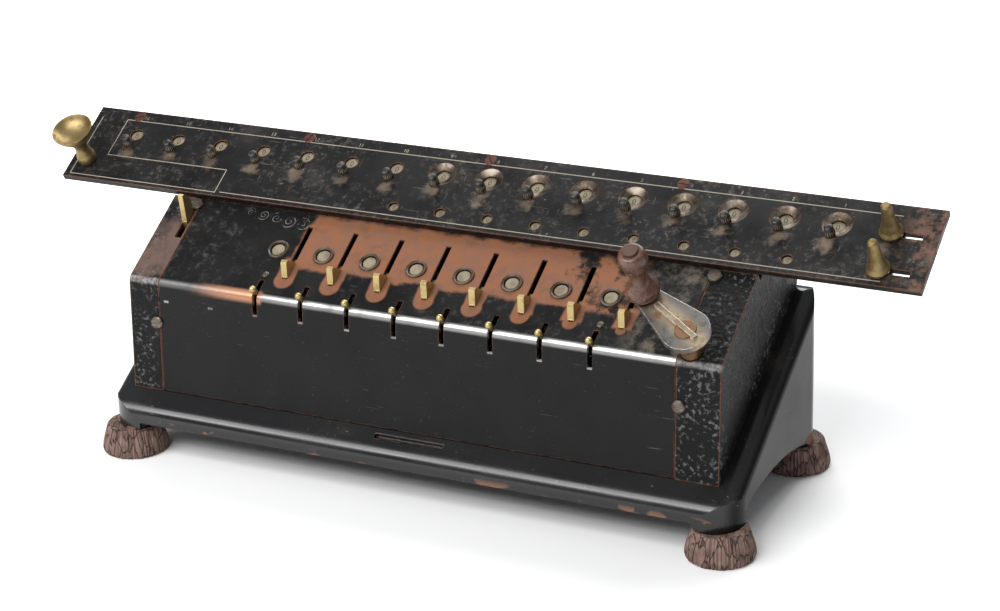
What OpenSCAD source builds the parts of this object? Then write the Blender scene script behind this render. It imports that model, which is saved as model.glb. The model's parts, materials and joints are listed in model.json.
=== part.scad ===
// Stepped-drum calculating machine with a sliding, tilting carriage.
// The sloping top has its own axes: x along the machine, v up the slope, n out of the slope.

/* [Layout] */
// Distance between neighbouring number columns
column_pitch = 28; // [27:0.5:30]
// Slope of the top plate and the carriage
tilt = 30.3; // [28:0.1:32]
// Forward lean of the front panel
front_lean = 3.5; // [2:0.1:5]
// Height of the bend line above the table
bend_z = 100.2; // [98:0.2:104]
// Distance from the base front to the bend line
bend_setback = 16.5; // [15:0.5:18]
// First lever column to the left outer wall
left_margin = 91.5; // [88:0.5:96]
// Last lever column to the right outer wall
right_margin = 58.7; // [57:0.1:62]
// Check windows and bead slits stand this far left of the levers
check_offset = 12.3; // [12:0.1:13]

/* [Base] */
// Ledge of the base behind the rear wall
rear_ledge = 8; // [7:0.2:10]
// Ledge of the base outside the housing
rim_ledge = 12.2; // [11:0.2:14]
// Depth of the rim below the top plate, square to the slope
rim_drop = 53; // [52:0.5:56]
// Rounding of the base's upper edge
rim_round = 8; // [5:0.5:10]
// Corner radius of the base in plan
base_corner = 18; // [14:1:20]
// Wall of the casting
base_wall = 5; // [4:0.5:6]
// Underside of the floor above the table
floor_z = 29; // [28.8:0.1:30]
// Thickness of the floor
floor_t = 3; // [2:0.5:4]
// Lower edge of the front rail above the table
rail_z = 20.5; // [19:0.5:22]
// Radius of the arch in the sides
arch_r = 170; // [160:5:200]
// Middle of the arch before the base's middle
arch_shift = 11.25; // [0:0.25:16]
// Top of the arch above the table
arch_z = 28.6; // [27:0.1:28.7]
// Radius of a leg at its lower end
leg_r = 11; // [10:0.5:12]
// Radius of a leg where it meets the base
leg_top_r = 17; // [15:0.5:18]
// Feet stand this far inside the base outline
foot_inset = 10.6; // [10:0.2:12]
// Length of the lid-catch slot in the front rail
catch_l = 40.6; // [30:0.2:50]
// Width of the lid-catch slot
catch_w = 3; // [2:0.5:4]

/* [Feet] */
// Radius of a rubber foot at the table
foot_r = 18.5; // [17:0.5:20]
// Radius of a rubber foot at its top
foot_top_r = 14.5; // [14:0.5:16]
// Height of a rubber foot
foot_h = 16; // [14:0.5:18]
// Height of the cup floor in a foot
foot_cup_z = 8; // [6:0.5:9]

/* [Sheet metal] */
// Thickness of the setting plate and bands
sheet_t = 2.5; // [2:0.1:3]
// Thickness of the housing side walls
wall_t = 3; // [2.5:0.1:4]
// Outer radius of the bend
bend_r = 4.5; // [4:0.1:6]
// Width of the left end band
left_band = 18.7; // [18:0.1:20]
// Width of the right end band
right_band = 24; // [22:0.5:24.5]
// Width of the lip under the plate's edges
lip_w = 7; // [5:0.5:8]
// Shallow relief of the side walls under the carriage
relief_n = 5; // [4.5:0.1:6]
// Deep relief of the side walls under the dials
notch_n = 12; // [11:0.5:14]
// Running gap between pieces
gap = 0.3; // [0.25:0.01:0.4]

/* [Setting levers] */
// Width of a lever slot
slot_w = 3; // [2.8:0.1:3.4]
// Front end of the lever slots
slot_v = 14; // [13.5:0.1:15]
// Travel of a lever per digit
digit_step = 3; // [2.9:0.02:3.1]
// Length of the lever's shank in the slot
shank_l = 9; // [8:0.2:10]
// Height of the lever's tab above the plate
tab_h = 8; // [7:0.2:10]
// How far the tab's top leans up the slope
tab_lean = 4.4; // [3.6:0.2:5]
// Thickness of the tab
tab_t = 3.6; // [3:0.1:4.4]
// Width of the tab's top edge
tab_top = 2; // [1.6:0.1:2.6]

/* [Check windows and beads] */
// Distance of the check windows up the slope
window_v = 32.7; // [31:0.1:34]
// Radius of a check window
window_r = 4.6; // [4:0.1:4.9]
// Outer radius of the window rim
window_rim_r = 5.9; // [5:0.1:6.2]
// Length of a bead slit on the top and on the front
bead_slit = 11; // [10.6:0.1:12]
// Width of a bead slit
bead_slit_w = 2.8; // [2.6:0.1:3]
// Radius of a bead
bead_r = 1.9; // [1.6:0.1:2.2]
// Marker lever from pivot to bead
bead_arm = 17.4; // [17.2:0.1:17.8]
// Pivot of the marker levers up the slope
bead_pivot_v = 6.6; // [6.4:0.1:6.8]
// Pivot of the marker levers below the plate
bead_pivot_n = 12.4; // [12.2:0.1:12.8]
// Rest angle of the marker levers
bead_angle = 107.8; // [106:0.2:110]

/* [Mechanism] */
// Depth of the drum axes below the plate
drum_n = 31; // [30.8:0.1:32]
// Depth of the counting shafts below the plate
count_n = 14.4; // [14.2:0.1:14.6]
// Radius of a drum body
drum_r = 9.8; // [9.4:0.1:9.9]
// Height of a drum tooth
drum_tooth = 2; // [1.6:0.1:2.2]
// Width of a drum tooth
drum_tooth_w = 1.6; // [1.2:0.1:2]
// Radius of a pinion over its teeth
pinion_r = 5.8; // [5.6:0.1:6]
// Side of the square counting shafts
square = 4; // [3.6:0.1:4.2]
// Radius of a drum axle
axle_r = 3; // [2.6:0.1:3.2]
// Pitch radius of the bevel gears
bevel_r = 8; // [7.8:0.1:8.2]
// Face width of the bevel gears along the axis
bevel_face = 2.4; // [2:0.1:2.6]
// Radius of the drive shaft
drive_r = 5.2; // [4.8:0.1:5.2]
// Radius of the drive shaft's ratchet wheel
ratchet_r = 9.4; // [8.6:0.1:9.6]
// Thickness of the ratchet wheel
ratchet_t = 8; // [6:0.5:8.5]
// Length of the drive shaft's stop drum beside the crank
stop_l = 13; // [12:0.5:13.5]
// Thickness of the bearing plates
bearing_t = 3; // [2.5:0.1:3.2]
// Front bearing plate up the slope
bearing_v = 17.4; // [17.2:0.1:17.8]

/* [Crank] */
// Crank axis from the last lever column
crank_x = 40.8; // [40.5:0.1:42]
// Crank axis up the slope
crank_v = 7.2; // [7:0.1:7.4]
// Radius of the crank's collar
collar_r = 6; // [5.5:0.1:6.2]
// Underside of the crank arm above the plate
arm_n = 14.5; // [14.2:0.1:16]
// Thickness of the crank arm
arm_t = 3.2; // [2.6:0.1:4]
// Crank radius
crank_r = 33.5; // [32:0.1:34]
// Radius of the arm round the shaft
arm_hub_r = 12.5; // [11:0.1:13]
// Radius of the arm round the handle
arm_tip_r = 6.2; // [5.5:0.1:6.4]
// Direction of the arm at rest
arm_angle = 147.5; // [140:0.5:155]
// Length of the wooden handle
handle_l = 33; // [30:0.5:36]
// Radius of the handle's lower flange
handle_flange_r = 9.2; // [8:0.1:9.4]
// Radius of the handle's knob
handle_knob_r = 7.7; // [7:0.1:8.4]
// Radius of the handle's waist
handle_waist_r = 4.6; // [4.4:0.1:5.5]
// Radius of the handle's pin
handle_pin_r = 2.5; // [2:0.1:2.8]

/* [Carriage] */
// Front edge of the carriage up the slope
carriage_v = 60; // [59.8:0.1:60.5]
// Width of the carriage up the slope
carriage_w = 53.2; // [53:0.2:55]
// Thickness of the carriage plate
carriage_t = 3.5; // [3:0.1:4]
// Gap under the carriage plate
carriage_gap = 0.5; // [0.4:0.05:0.6]
// First dial axle to the left end of the carriage
carriage_left = 30.4; // [29:0.2:32]
// Last dial axle to the right end of the carriage
carriage_right = 55.4; // [54:0.2:57]
// Radius of the carriage rod
rod_r = 4; // [3.5:0.1:4.2]
// Carriage rod up the slope
rod_v = 108; // [107.8:0.1:108.4]
// Carriage rod below the top plate's plane
rod_n = 8; // [7.8:0.1:8.2]
// Room behind the rod's axis, to the back of the rear wall
rod_room = 13.7; // [13.4:0.1:16]
// Thickness of a carriage bush
bush_t = 2.2; // [2:0.1:2.4]
// Length of a hinge lug
lug_l = 12; // [10:0.5:12.5]
// Wall of a hinge lug
lug_t = 2.7; // [2.2:0.1:2.8]
// Carriage knob from the carriage's left end
knob_x = 10.4; // [9:0.2:12]
// Carriage knob from the carriage's front edge
knob_v = 13.5; // [12:0.5:15]
// Radius of the carriage knob's dish
dish_r = 12; // [10:0.5:13]
// Height of the carriage knob
dish_h = 26; // [25:0.5:30]
// Radius of the carriage knob's foot
knob_foot_r = 5.6; // [5:0.1:6.4]
// Radius of the carriage knob's neck
knob_neck_r = 3.6; // [3:0.1:4]

/* [Dials] */
// How far the parked carriage stands beyond a column step
parked_shift = 4.8; // [4.4:0.1:5.2]
// Dial axles up the slope
dial_v = 88.2; // [87.5:0.1:89]
// Radius of a dial disc
dial_r = 11.6; // [11.2:0.1:11.8]
// Thickness of a dial disc
dial_t = 2; // [1.6:0.1:2.2]
// Radius of a dial axle
dial_axle_r = 2.4; // [2:0.1:2.6]
// Radius of a twirl knob
twirl_r = 2.7; // [2.6:0.1:3]
// Height of a twirl knob above the carriage
twirl_h = 6.6; // [6:0.2:8]
// Radius of a dial window
dial_window_r = 3.9; // [3.6:0.1:4]
// Window beside the axle, along the machine
dial_window_x = 1.6; // [1.4:0.1:2]
// Window beside the axle, up the slope
dial_window_v = 7.4; // [7.2:0.1:7.6]
// Radius of the dish round a window
dial_dish_r = 8; // [7.6:0.1:8.2]
// Depth of that dish
dial_dish_d = 2.2; // [1.8:0.1:2.4]
// Counter dials up the slope
counter_v = 69.2; // [69:0.1:69.6]
// Counter dials beside the result dials' axles
counter_offset = 17.1; // [16.6:0.1:17.4]
// Radius of a counter dial
counter_r = 5.6; // [5.2:0.1:6]
// Radius of a counter window
counter_window_r = 2.9; // [2.6:0.1:3.4]

/* [Clearing slides] */
// Clearing knobs from the right end of the carriage
clear_inset = 24.8; // [24:0.2:27]
// Travel of a clearing slide
clear_travel = 14; // [12:0.5:14.5]
// Result clearing knob up the slope
clear_result_v = 94; // [93.5:0.1:95]
// Counter clearing knob up the slope
clear_counter_v = 70; // [69.5:0.1:70.5]
// Height of a clearing knob
cone_h = 22; // [20:0.5:26]
// Base radius of a clearing knob
cone_r = 6.3; // [5.5:0.1:6.6]
// Top radius of a clearing knob
cone_top_r = 2.7; // [2.4:0.1:3]

/* [Reversing lever] */
// Reversing lever from the seam of the left band
reverse_inset = 3; // [2.8:0.1:3.2]
// Reversing lever up the slope
reverse_v = 40.5; // [40:0.1:41]
// Pivot of the reversing lever below the plate
reverse_pivot_n = 20; // [19:0.5:21]
// Height of the reversing lever above the plate
reverse_h = 17; // [16:0.5:18]
// Half width of the reversing lever at the plate
reverse_w = 4; // [3.6:0.1:4.4]
// Radius of the reversing lever's curved edge
reverse_round = 13.2; // [13:0.1:14]
// Lean of the reversing lever to the rear at rest
reverse_lean = 13; // [12:0.1:13.4]

/* [Hidden] */
$fn = 48;
columns = 8;
dials = 16;
counters = 9;
parked = 5;
first_dished = 7;
function named(stem, count) = [for (i = [1 : count]) str(stem, "_", i)];

// Places along x: the carriage's middle is at x = 0 when it is parked as drawn
dial_x0 = -((dials - 1) * column_pitch + carriage_right - carriage_left) / 2;
lever_x0 = dial_x0 + parked * column_pitch - parked_shift;
function lever_x(i) = lever_x0 + i * column_pitch;
function check_x(i) = lever_x(i) - check_offset;
function dial_x(i) = dial_x0 + i * column_pitch;
lever_x1 = lever_x(columns - 1);
house_x0 = lever_x0 - left_margin;
house_x1 = lever_x1 + right_margin;
base_x0 = house_x0 - rim_ledge;
base_x1 = house_x1 + rim_ledge;
seam_x0 = house_x0 + left_band;
seam_x1 = house_x1 - right_band;
carriage_x0 = dial_x0 - carriage_left;
carriage_x1 = dial_x(dials - 1) + carriage_right;
crank_shaft_x = lever_x1 + crank_x;

// Places along y and z
base_depth = bend_setback + rod_v * cos(tilt) + rod_n * sin(tilt) + rod_room + rear_ledge;
front_y = -base_depth / 2;
rear_y = base_depth / 2;
bend_y = front_y + bend_setback;
rear_wall_y = rear_y - rear_ledge;
rear_wall_z = bend_z + (rod_v + 10) * sin(tilt) - (notch_n + 4) * cos(tilt) + 2.8;
turn = 90 - tilt - front_lean;
bend_tangent = bend_r * tan(turn / 2);
panel_l = rim_drop / sin(turn);
relief_v = carriage_v + 16;
lever_rest_v = slot_v + gap;
pinion_v = slot_v + shank_l + 2;
pinion_l = 3;
bevel_apex_v = crank_v;
drum_v0 = bearing_v + bearing_t + 1.2;
drum_v1 = pinion_v + 9 * digit_step + pinion_l / 2 + 1;
hub_l = 6.4;
rear_bearing_v = pinion_v + 9 * digit_step + hub_l + 2 * gap;
plate_top_n = carriage_gap + carriage_t;
bush_r = rod_r + gap + bush_t;
lug_r = bush_r + gap + lug_t;
inner_x0 = house_x0 + wall_t;
inner_x1 = house_x1 - wall_t;
reverse_slot = 2 * (reverse_w + reverse_pivot_n * sin(reverse_lean) + 1);
big = 400;

module on_slope(x = 0, v = 0, n = 0)
    translate([x, bend_y, bend_z]) rotate([tilt, 0, 0]) translate([0, v, n]) children();

// A profile drawn in (v, n) or (y, z), drawn out along x
module along_x(x0, x1) translate([x0, 0, 0]) rotate([90, 0, 90]) linear_extrude(x1 - x0) children();

// A cylinder or revolve that stands along v, or lies along x
module up_slope() rotate([-90, 0, 0]) children();
module across() rotate([0, 90, 0]) children();

module bar(x0, x1, y0, y1, z0, z1)
    translate([x0, y0, z0]) cube([x1 - x0, y1 - y0, z1 - z0]);

module rounded_plan(x0, x1, y0, y1, r) {
    translate([x0 + r, y0]) square([x1 - x0 - 2 * r, y1 - y0]);
    translate([x0, y0 + r]) square([x1 - x0, y1 - y0 - 2 * r]);
    for (x = [x0 + r, x1 - r], y = [y0 + r, y1 - r]) translate([x, y]) circle(r);
}

// Region under the bent top in (v, n)
module bent_outline(v_end, front_l) {
    down = [-cos(turn), -sin(turn)];
    centre = [bend_tangent, -bend_r];
    corner = centre + bend_r * [-sin(turn), cos(turn)];
    foot = corner + (front_l - bend_tangent) * down;
    polygon([[bend_tangent, 0], [v_end, 0], [v_end, foot[1]], foot, corner]);
    translate(centre) circle(bend_r);
}

// Region under the sheet in (v, n); its inner corner is sharp
module under_sheet(v_end, front_l) {
    corner = [sheet_t * tan(turn / 2), -sheet_t];
    foot = corner + front_l * [-cos(turn), -sin(turn)];
    polygon([corner, [v_end, -sheet_t], [v_end, foot[1]], foot]);
}

// Bent sheet: flat to v_end, round the bend and down the front
module bent_sheet(v_end, front_l) difference() {
    bent_outline(v_end, front_l);
    under_sheet(v_end + 1, front_l + 3);
}

// Base casting: a wedge-shaped tray on four legs
function rim_z(y) = bend_z + (y - bend_y) * tan(tilt) - rim_drop / cos(tilt);

module base_side_profile(r) {
    front_c = [front_y + r, rim_z(front_y + r) - r / cos(tilt)];
    rear_c = [rear_y - r, rim_z(rear_y - r) - r / cos(tilt)];
    up = r * [-sin(tilt), cos(tilt)];
    polygon([[front_y, 0], [front_y, front_c[1]], front_c + up, rear_c + up,
        [rear_y, rear_c[1]], [rear_y, 0]]);
    translate(front_c) circle(r);
    translate(rear_c) circle(r);
}

module base_envelope() intersection() {
    linear_extrude(big) rounded_plan(base_x0, base_x1, front_y, rear_y, base_corner);
    along_x(base_x0 - 1, base_x1 + 1) base_side_profile(rim_round);
    on_slope(0, -big, -rim_drop) up_slope() linear_extrude(2 * big) mirror([0, 1])
        rounded_plan(base_x0, base_x1, -big, 0, rim_round);
}

module base_inside(inset, z0, z1)
    translate([0, 0, z0]) linear_extrude(z1 - z0) rounded_plan(base_x0 + inset, base_x1 - inset,
        front_y + inset, rear_y - inset, base_corner - inset);

leg_h = floor_z + floor_t - foot_cup_z;
foot_xs = [base_x0 + foot_inset, base_x1 - foot_inset];
foot_ys = [front_y + foot_inset, rear_y - foot_inset];
module at_feet() for (x = foot_xs, y = foot_ys) translate([x, y, 0]) children();

module base_casting() color("#17171a") difference() {
    union() {
        difference() {
            base_envelope();
            base_inside(base_wall, -1, floor_z);
            intersection() {
                base_inside(base_wall, floor_z + floor_t, big);
                on_slope(0, 0, -rim_drop - base_wall)
                    translate([-big, -big, -big]) cube([2 * big, 2 * big, big]);
            }
            bar(inner_x0 + 1, inner_x1 - 1, front_y + bend_setback, rear_wall_y - wall_t - 1,
                floor_z + floor_t, big);
            bar(foot_xs[0] + leg_r, foot_xs[1] - leg_r, front_y - 1, rear_y + 1, -1, rail_z);
            bar(base_x0 - 1, base_x1 + 1, front_y - 1, rear_y + 1, -1, foot_h + 1);
            along_x(base_x0 - 1, base_x1 + 1) intersection() {
                translate([-arch_shift, arch_z - arch_r]) circle(arch_r, $fn = 128);
                translate([foot_ys[0] + leg_r, -1])
                    square([foot_ys[1] - foot_ys[0] - 2 * leg_r, arch_z + 2]);
            }
        }
        intersection() {
            base_envelope();
            at_feet() translate([0, 0, foot_cup_z]) cylinder(h = leg_h, r1 = leg_r, r2 = leg_top_r);
        }
    }
    on_slope((house_x0 + house_x1) / 2 - catch_l / 2, -panel_l * cos(turn) - 6.5, -rim_drop - 2.4)
        cube([catch_l, catch_w, 4]);
}

module rubber_feet() color("#5a4136") at_feet() difference() {
    rotate_extrude() polygon([[0, 0], [foot_r - 1.5, 0], [foot_r, 1.5], [foot_r, 5],
        [foot_top_r, foot_h - 1.5], [foot_top_r - 1.5, foot_h], [0, foot_h]]);
    translate([0, 0, foot_cup_z])
        cylinder(h = leg_h, r1 = leg_r + gap, r2 = leg_top_r + gap);
}

// Housing hood: side walls, end bands, lips under the plate and a rear wall
module side_profile() {
    difference() {
        union() {
            polygon([[bend_tangent, 0], [carriage_v, 0], [carriage_v, -relief_n],
                [relief_v, -relief_n], [relief_v, -notch_n], [rod_v + 6, -notch_n],
                [rod_v + 10, -notch_n - 4], [rod_v + 10, -rim_drop],
                [-panel_l * cos(turn), -rim_drop],
                [bend_tangent - bend_r * sin(turn), -bend_r + bend_r * cos(turn)]]);
            translate([bend_tangent, -bend_r]) circle(bend_r);
            translate([rod_v, -rod_n]) circle(rod_r + 2.4);
        }
        translate([rod_v, -rod_n]) circle(rod_r);
    }
}

// Flat strips under the top and behind the front that carry the plate's edges
module lips(x0, x1, band_x0, band_x1) {
    bar(x0, x1, bend_r + 2, carriage_v, -2 * sheet_t, -sheet_t);
    translate([0, bend_tangent, -bend_r]) rotate([turn, 0, 0]) {
        bar(x0, x1, -panel_l, -bend_r - 2, bend_r - 2 * sheet_t, bend_r - sheet_t - gap);
        bar(band_x0, band_x1, -panel_l, -bend_r - 2, bend_r - 2 * sheet_t, bend_r - sheet_t / 2);
    }
}

module above_rim() on_slope(0, 0, -rim_drop) translate([-big, -big, 0]) cube([2 * big, 2 * big, big]);
module before_y(y) translate([-big, -big, 0]) cube([2 * big, big + y, big]);

module hood_shell() difference() {
    union() {
        intersection() {
            on_slope() along_x(house_x0, house_x1) side_profile();
            before_y(rear_wall_y);
        }
        intersection() {
            bar(house_x0, house_x1, rear_wall_y - wall_t, rear_wall_y, 0, rear_wall_z);
            above_rim();
        }
    }
    intersection() {
        on_slope() along_x(inner_x0, inner_x1) {
            under_sheet(rod_v + 20, panel_l + 5);
            translate([carriage_v, -2 * rim_drop]) square([rod_v, 3 * rim_drop]);
        }
        before_y(rear_wall_y - wall_t);
    }
    on_slope() bar(seam_x0, seam_x1, -2 * rim_drop, carriage_v + 1, -2 * rim_drop, 2);
}

module housing() color("#26262a") difference() {
    union() {
        hood_shell();
        intersection() {
            on_slope() {
                lips(house_x0 + 1, seam_x0 + lip_w, house_x0 + 1, seam_x0 - 1);
                lips(seam_x1 - lip_w, house_x1 - 1, seam_x1 + 1, house_x1 - 1);
            }
            above_rim();
        }
        on_slope(house_x0 + 1, reverse_v, -reverse_pivot_n) across()
            cylinder(h = seam_x0 - house_x0 - 1.5, r = 2);
    }
    on_slope(crank_shaft_x, crank_v, -bend_r * 3) cylinder(h = bend_r * 4, r = collar_r + gap);
    on_slope(seam_x0 - reverse_inset, 0, 0)
        bar(-2, 2, reverse_v - reverse_slot / 2, reverse_v + reverse_slot / 2, -3 * sheet_t, 1);
}

// Region that a bead slit clears through the bent sheet, in (v, n)
module bead_slit_profile() {
    side = [-sin(turn), cos(turn)];
    down = [-cos(turn), -sin(turn)];
    inside = bend_r - sheet_t - 1;
    end = [bend_tangent, -bend_r] + (bead_slit - bend_tangent) * down;
    polygon([[bead_slit, 4], [bead_slit, -sheet_t - 1], [bend_tangent, -bend_r - 1],
        end + inside * side, end + (bend_r + 4) * side, [-bend_r - 4, 4]]);
}

// Setting plate: bent sheet with lever slots, check windows and bead slits
module setting_plate() color("#1d1a19") on_slope() difference() {
    union() {
        along_x(seam_x0 + gap, seam_x1 - gap) bent_sheet(carriage_v, panel_l - 0.5);
        for (i = [0 : columns - 1]) translate([check_x(i), window_v, -sheet_t / 2])
            cylinder(h = sheet_t / 2 + 0.5, r = window_rim_r);
    }
    for (i = [0 : columns - 1]) {
        translate([lever_x(i), 0, 0]) bar(-slot_w / 2, slot_w / 2, slot_v,
            lever_rest_v + 9 * digit_step + shank_l + gap, -2 * sheet_t, 1);
        translate([check_x(i), window_v, -2 * sheet_t]) cylinder(h = 4 * sheet_t, r = window_r);
        along_x(check_x(i) - bead_slit_w / 2, check_x(i) + bead_slit_w / 2) bead_slit_profile();
    }
}

// Slotted screw with its head's underside at n = 0
module slotted_screw(r) difference() {
    rotate_extrude() polygon([[0, 0], [r, 0], [r, 0.9], [r - 0.6, 1.5], [0, 1.5]]);
    translate([-r - 1, -0.5, 0.8]) cube([2 * r + 2, 1, 1]);
}

module on_front(x, s) on_slope(x) translate([0, bend_tangent, -bend_r]) rotate([turn, 0, 0])
    translate([0, bend_tangent - s, bend_r]) children();

module cover_screws() color("#8a8378") {
    on_front(seam_x0 - 1.8, 24) slotted_screw(3.6);
    on_front(seam_x1 + 1.8, 24) slotted_screw(3.6);
    on_slope(seam_x1 + 2.2, carriage_v - 4.6, 0) slotted_screw(4);
    on_slope(seam_x0 - 2.2, carriage_v - 4.6, 0) slotted_screw(4);
}

// Straight bevel gear: apex at the origin, back towards +z, one tooth at the given turn
teeth = 10;
module bevel(pitch, face, turn_by) {
    root = pitch - 1;
    cylinder_z = pitch - face;
    translate([0, 0, cylinder_z]) cylinder(h = face, r1 = root - face, r2 = root);
    translate([0, 0, pitch - 0.4]) cylinder(h = 1.6, r = root - 0.2);
    for (k = [0 : teeth - 1]) rotate(turn_by + k * 360 / teeth) rotate([90, 0, 0])
        translate([0, 0, -0.5]) linear_extrude(1) polygon([[root - face - 1, cylinder_z],
            [root - face + 1.4, cylinder_z], [root + 1.4, pitch], [root - 1, pitch]]);
}

// Stepped drum along v with nine teeth of graded length
module stepped_drum(i) color("#b9a06a") on_slope(lever_x(i), 0, -drum_n) {
    translate([0, bevel_apex_v, 0]) up_slope() bevel(bevel_r, bevel_face, 0);
    translate([0, bevel_apex_v + bevel_r, 0]) up_slope()
        cylinder(h = rear_bearing_v + bearing_t - bevel_apex_v - bevel_r, r = axle_r);
    translate([0, drum_v0, 0]) up_slope() cylinder(h = drum_v1 - drum_v0, r = drum_r);
    for (k = [1 : 9]) rotate([0, 5 + 17 * k, 0])
        bar(-drum_tooth_w / 2, drum_tooth_w / 2, drum_v1 - k * digit_step, drum_v1,
            drum_r - 1, drum_r + drum_tooth);
}

// Drive shaft across the machine, with a bevel for each drum and one for the crank
bracket_xs = [lever_x0 - column_pitch / 2, lever_x(4) - column_pitch / 2, lever_x1 + column_pitch / 2];
drive_x0 = bracket_xs[0] - ratchet_t - 4;
drive_x1 = crank_shaft_x - bevel_r + 0.5;

// Ratchet wheel that lets the crank turn one way only
module ratchet_wheel() linear_extrude(ratchet_t) polygon([for (k = [0 : 11], step = [0, 1])
    (ratchet_r - 1.6 * step) * [cos(30 * k + 4 * step), sin(30 * k + 4 * step)]]);

module drive_shaft() color("#9a9a98") on_slope(0, bevel_apex_v, -drum_n) {
    translate([drive_x0, 0, 0]) across()
        cylinder(h = drive_x1 - drive_x0, r = drive_r);
    translate([drive_x0 + 1, 0, 0]) across() ratchet_wheel();
    translate([bracket_xs[2] + 3, 0, 0]) across() cylinder(h = stop_l, r = ratchet_r);
    for (i = [0 : columns - 1]) translate([lever_x(i), 0, 0]) across()
        bevel(bevel_r, bevel_face, 180 / teeth + 90);
    translate([crank_shaft_x, 0, 0]) rotate([0, -90, 0]) bevel(bevel_r, bevel_face, 180 / teeth);
}

// Bearing plates and brackets of the mechanism
rod_x0 = check_x(0) - 7;
rod_x1 = lever_x1 + 8;
module mechanism_frame() color("#6e6c68") on_slope() difference() {
    union() {
        bar(inner_x0, inner_x1, bearing_v, bearing_v + bearing_t, 4 - rim_drop, -relief_n - 2.6);
        bar(inner_x0, inner_x1, rear_bearing_v, rear_bearing_v + bearing_t, 4 - rim_drop,
            -relief_n - 2.6);
        for (i = [0 : columns - 1], v = [bearing_v, rear_bearing_v]) translate([check_x(i), 0, 0])
            bar(-2.5, 2.5, v, v + bearing_t, -relief_n - 3, -3.2);
        for (x = bracket_xs) bar(x - 1.5, x + 1.5, bevel_apex_v - drive_r - 2,
            bearing_v + 1, -drum_n - drive_r - 3, -drum_n + drive_r + 3);
        for (x = [rod_x0, rod_x1]) bar(x - 1.5, x + 1.5, bead_pivot_v - 3.5, bearing_v + 1,
            -bead_pivot_n - 3.5, -bead_pivot_n + 3.5);
        translate([rod_x0, bead_pivot_v, -bead_pivot_n]) across() cylinder(h = rod_x1 - rod_x0, r = 1.6);
        bar(crank_shaft_x - 8, crank_shaft_x + 8, crank_v - 7, bearing_v + 1,
            -bead_pivot_n - 2, -bead_pivot_n + 2);
    }
    for (i = [0 : columns - 1], v = [bearing_v, rear_bearing_v]) {
        translate([lever_x(i), v - 1, -drum_n]) up_slope() cylinder(h = bearing_t + 2, r = axle_r + gap);
        translate([lever_x(i), v - 1, -count_n]) up_slope() cylinder(h = bearing_t + 2, r = square * 0.75);
        translate([check_x(i), v - 1, -2 - sheet_t - roller_r]) up_slope()
            cylinder(h = bearing_t + 2, r = 1.2);
    }
    for (x = bracket_xs) translate([x - 2, bevel_apex_v, -drum_n]) across()
        cylinder(h = 4, r = drive_r + gap);
    translate([crank_shaft_x, crank_v, -bead_pivot_n - 3]) cylinder(h = 6, r = 4 + gap);
}

// Square counting shafts with a gear at the rear end
count_gear_r = 5.2;
count_gear_t = 2.8;
count_v1 = dial_v - 4.5;
module count_gear() {
    cylinder(h = count_gear_t, r = count_gear_r - 1.4);
    for (k = [0 : teeth - 1]) rotate(18 + k * 360 / teeth)
        bar(count_gear_r - 2.4, count_gear_r, -0.5, 0.5, 0.3, count_gear_t - 0.3);
}

module counting_shafts() color("#a8a49c") for (i = [0 : columns - 1])
    on_slope(lever_x(i), 0, -count_n) {
        bar(-square / 2, square / 2, bearing_v, count_v1 - 1, -square / 2, square / 2);
        translate([0, count_v1 - count_gear_t, 0]) up_slope() count_gear();
    }

// Check rollers under the windows, on thin axles between the bearing plates
roller_r = 3;
module check_rollers() color("#d8cfae") for (i = [0 : columns - 1])
    on_slope(check_x(i), 0, -2 - sheet_t - roller_r) {
        translate([0, bearing_v, 0]) up_slope()
            cylinder(h = rear_bearing_v + bearing_t - bearing_v, r = 1.2);
        translate([0, window_v - 5, 0]) up_slope() cylinder(h = 10, r = roller_r + 1.6);
    }

// Setting lever: tab over the plate, runner under it, fork and sliding pinion
module setting_lever(i) color("#b08d45") on_slope(lever_x(i), lever_rest_v, 0) {
    shank_t = slot_w - 2 * gap;
    along_x(-tab_t / 2, tab_t / 2) polygon([[0, gap], [shank_l + 1.5, gap], [shank_l + 1.5, 1.6],
        [tab_lean + tab_top, tab_h], [tab_lean, tab_h]]);
    bar(-shank_t / 2, shank_t / 2, 0, shank_l, -sheet_t - 1, 1);
    fork_v = pinion_v - lever_rest_v + 3.6;
    bar(-2.4, 2.4, 0, fork_v + 1, -sheet_t - gap - 2, -sheet_t - gap);
    difference() {
        bar(-4.4, 4.4, fork_v - 1, fork_v + 1, -count_n - 2, -sheet_t - gap);
        translate([0, fork_v - 2, -count_n]) up_slope() cylinder(h = 4, r = square * 0.9 + gap);
        bar(-square * 0.9 - gap, square * 0.9 + gap, fork_v - 2, fork_v + 2, -count_n - 3, -count_n);
    }
    translate([0, pinion_v - lever_rest_v, -count_n]) difference() {
        union() {
            translate([0, -pinion_l / 2, 0]) up_slope() cylinder(h = pinion_l, r = pinion_r - 1.2);
            for (k = [0 : 9]) rotate([0, 18 + 36 * k, 0])
                bar(-0.6, 0.6, -pinion_l / 2, pinion_l / 2, pinion_r - 2, pinion_r);
            up_slope() cylinder(h = hub_l, r = square * 0.9);
            translate([0, hub_l - 1.4, 0]) up_slope() cylinder(h = 1.4, r = pinion_r - 1.2);
        }
        bar(-square / 2 - gap, square / 2 + gap, -9, 9, -square / 2 - gap, square / 2 + gap);
    }
}

// Marker lever: a thin lever with a bead, swinging on the pivot rod
module marker_lever(i) color("#b08d45")
    on_slope(check_x(i), bead_pivot_v, -bead_pivot_n) rotate([bead_angle, 0, 0]) {
        t = bead_slit_w - 2 * gap;
        difference() {
            union() {
                translate([-t / 2, 0, 0]) across() cylinder(h = t, r = 3.4);
                bar(-t / 2, t / 2, 0, bead_arm, -1.1, 1.1);
            }
            translate([-t, 0, 0]) across() cylinder(h = 2 * t, r = 1.6 + gap);
        }
        translate([0, bead_arm, 0]) sphere(bead_r);
    }

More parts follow.
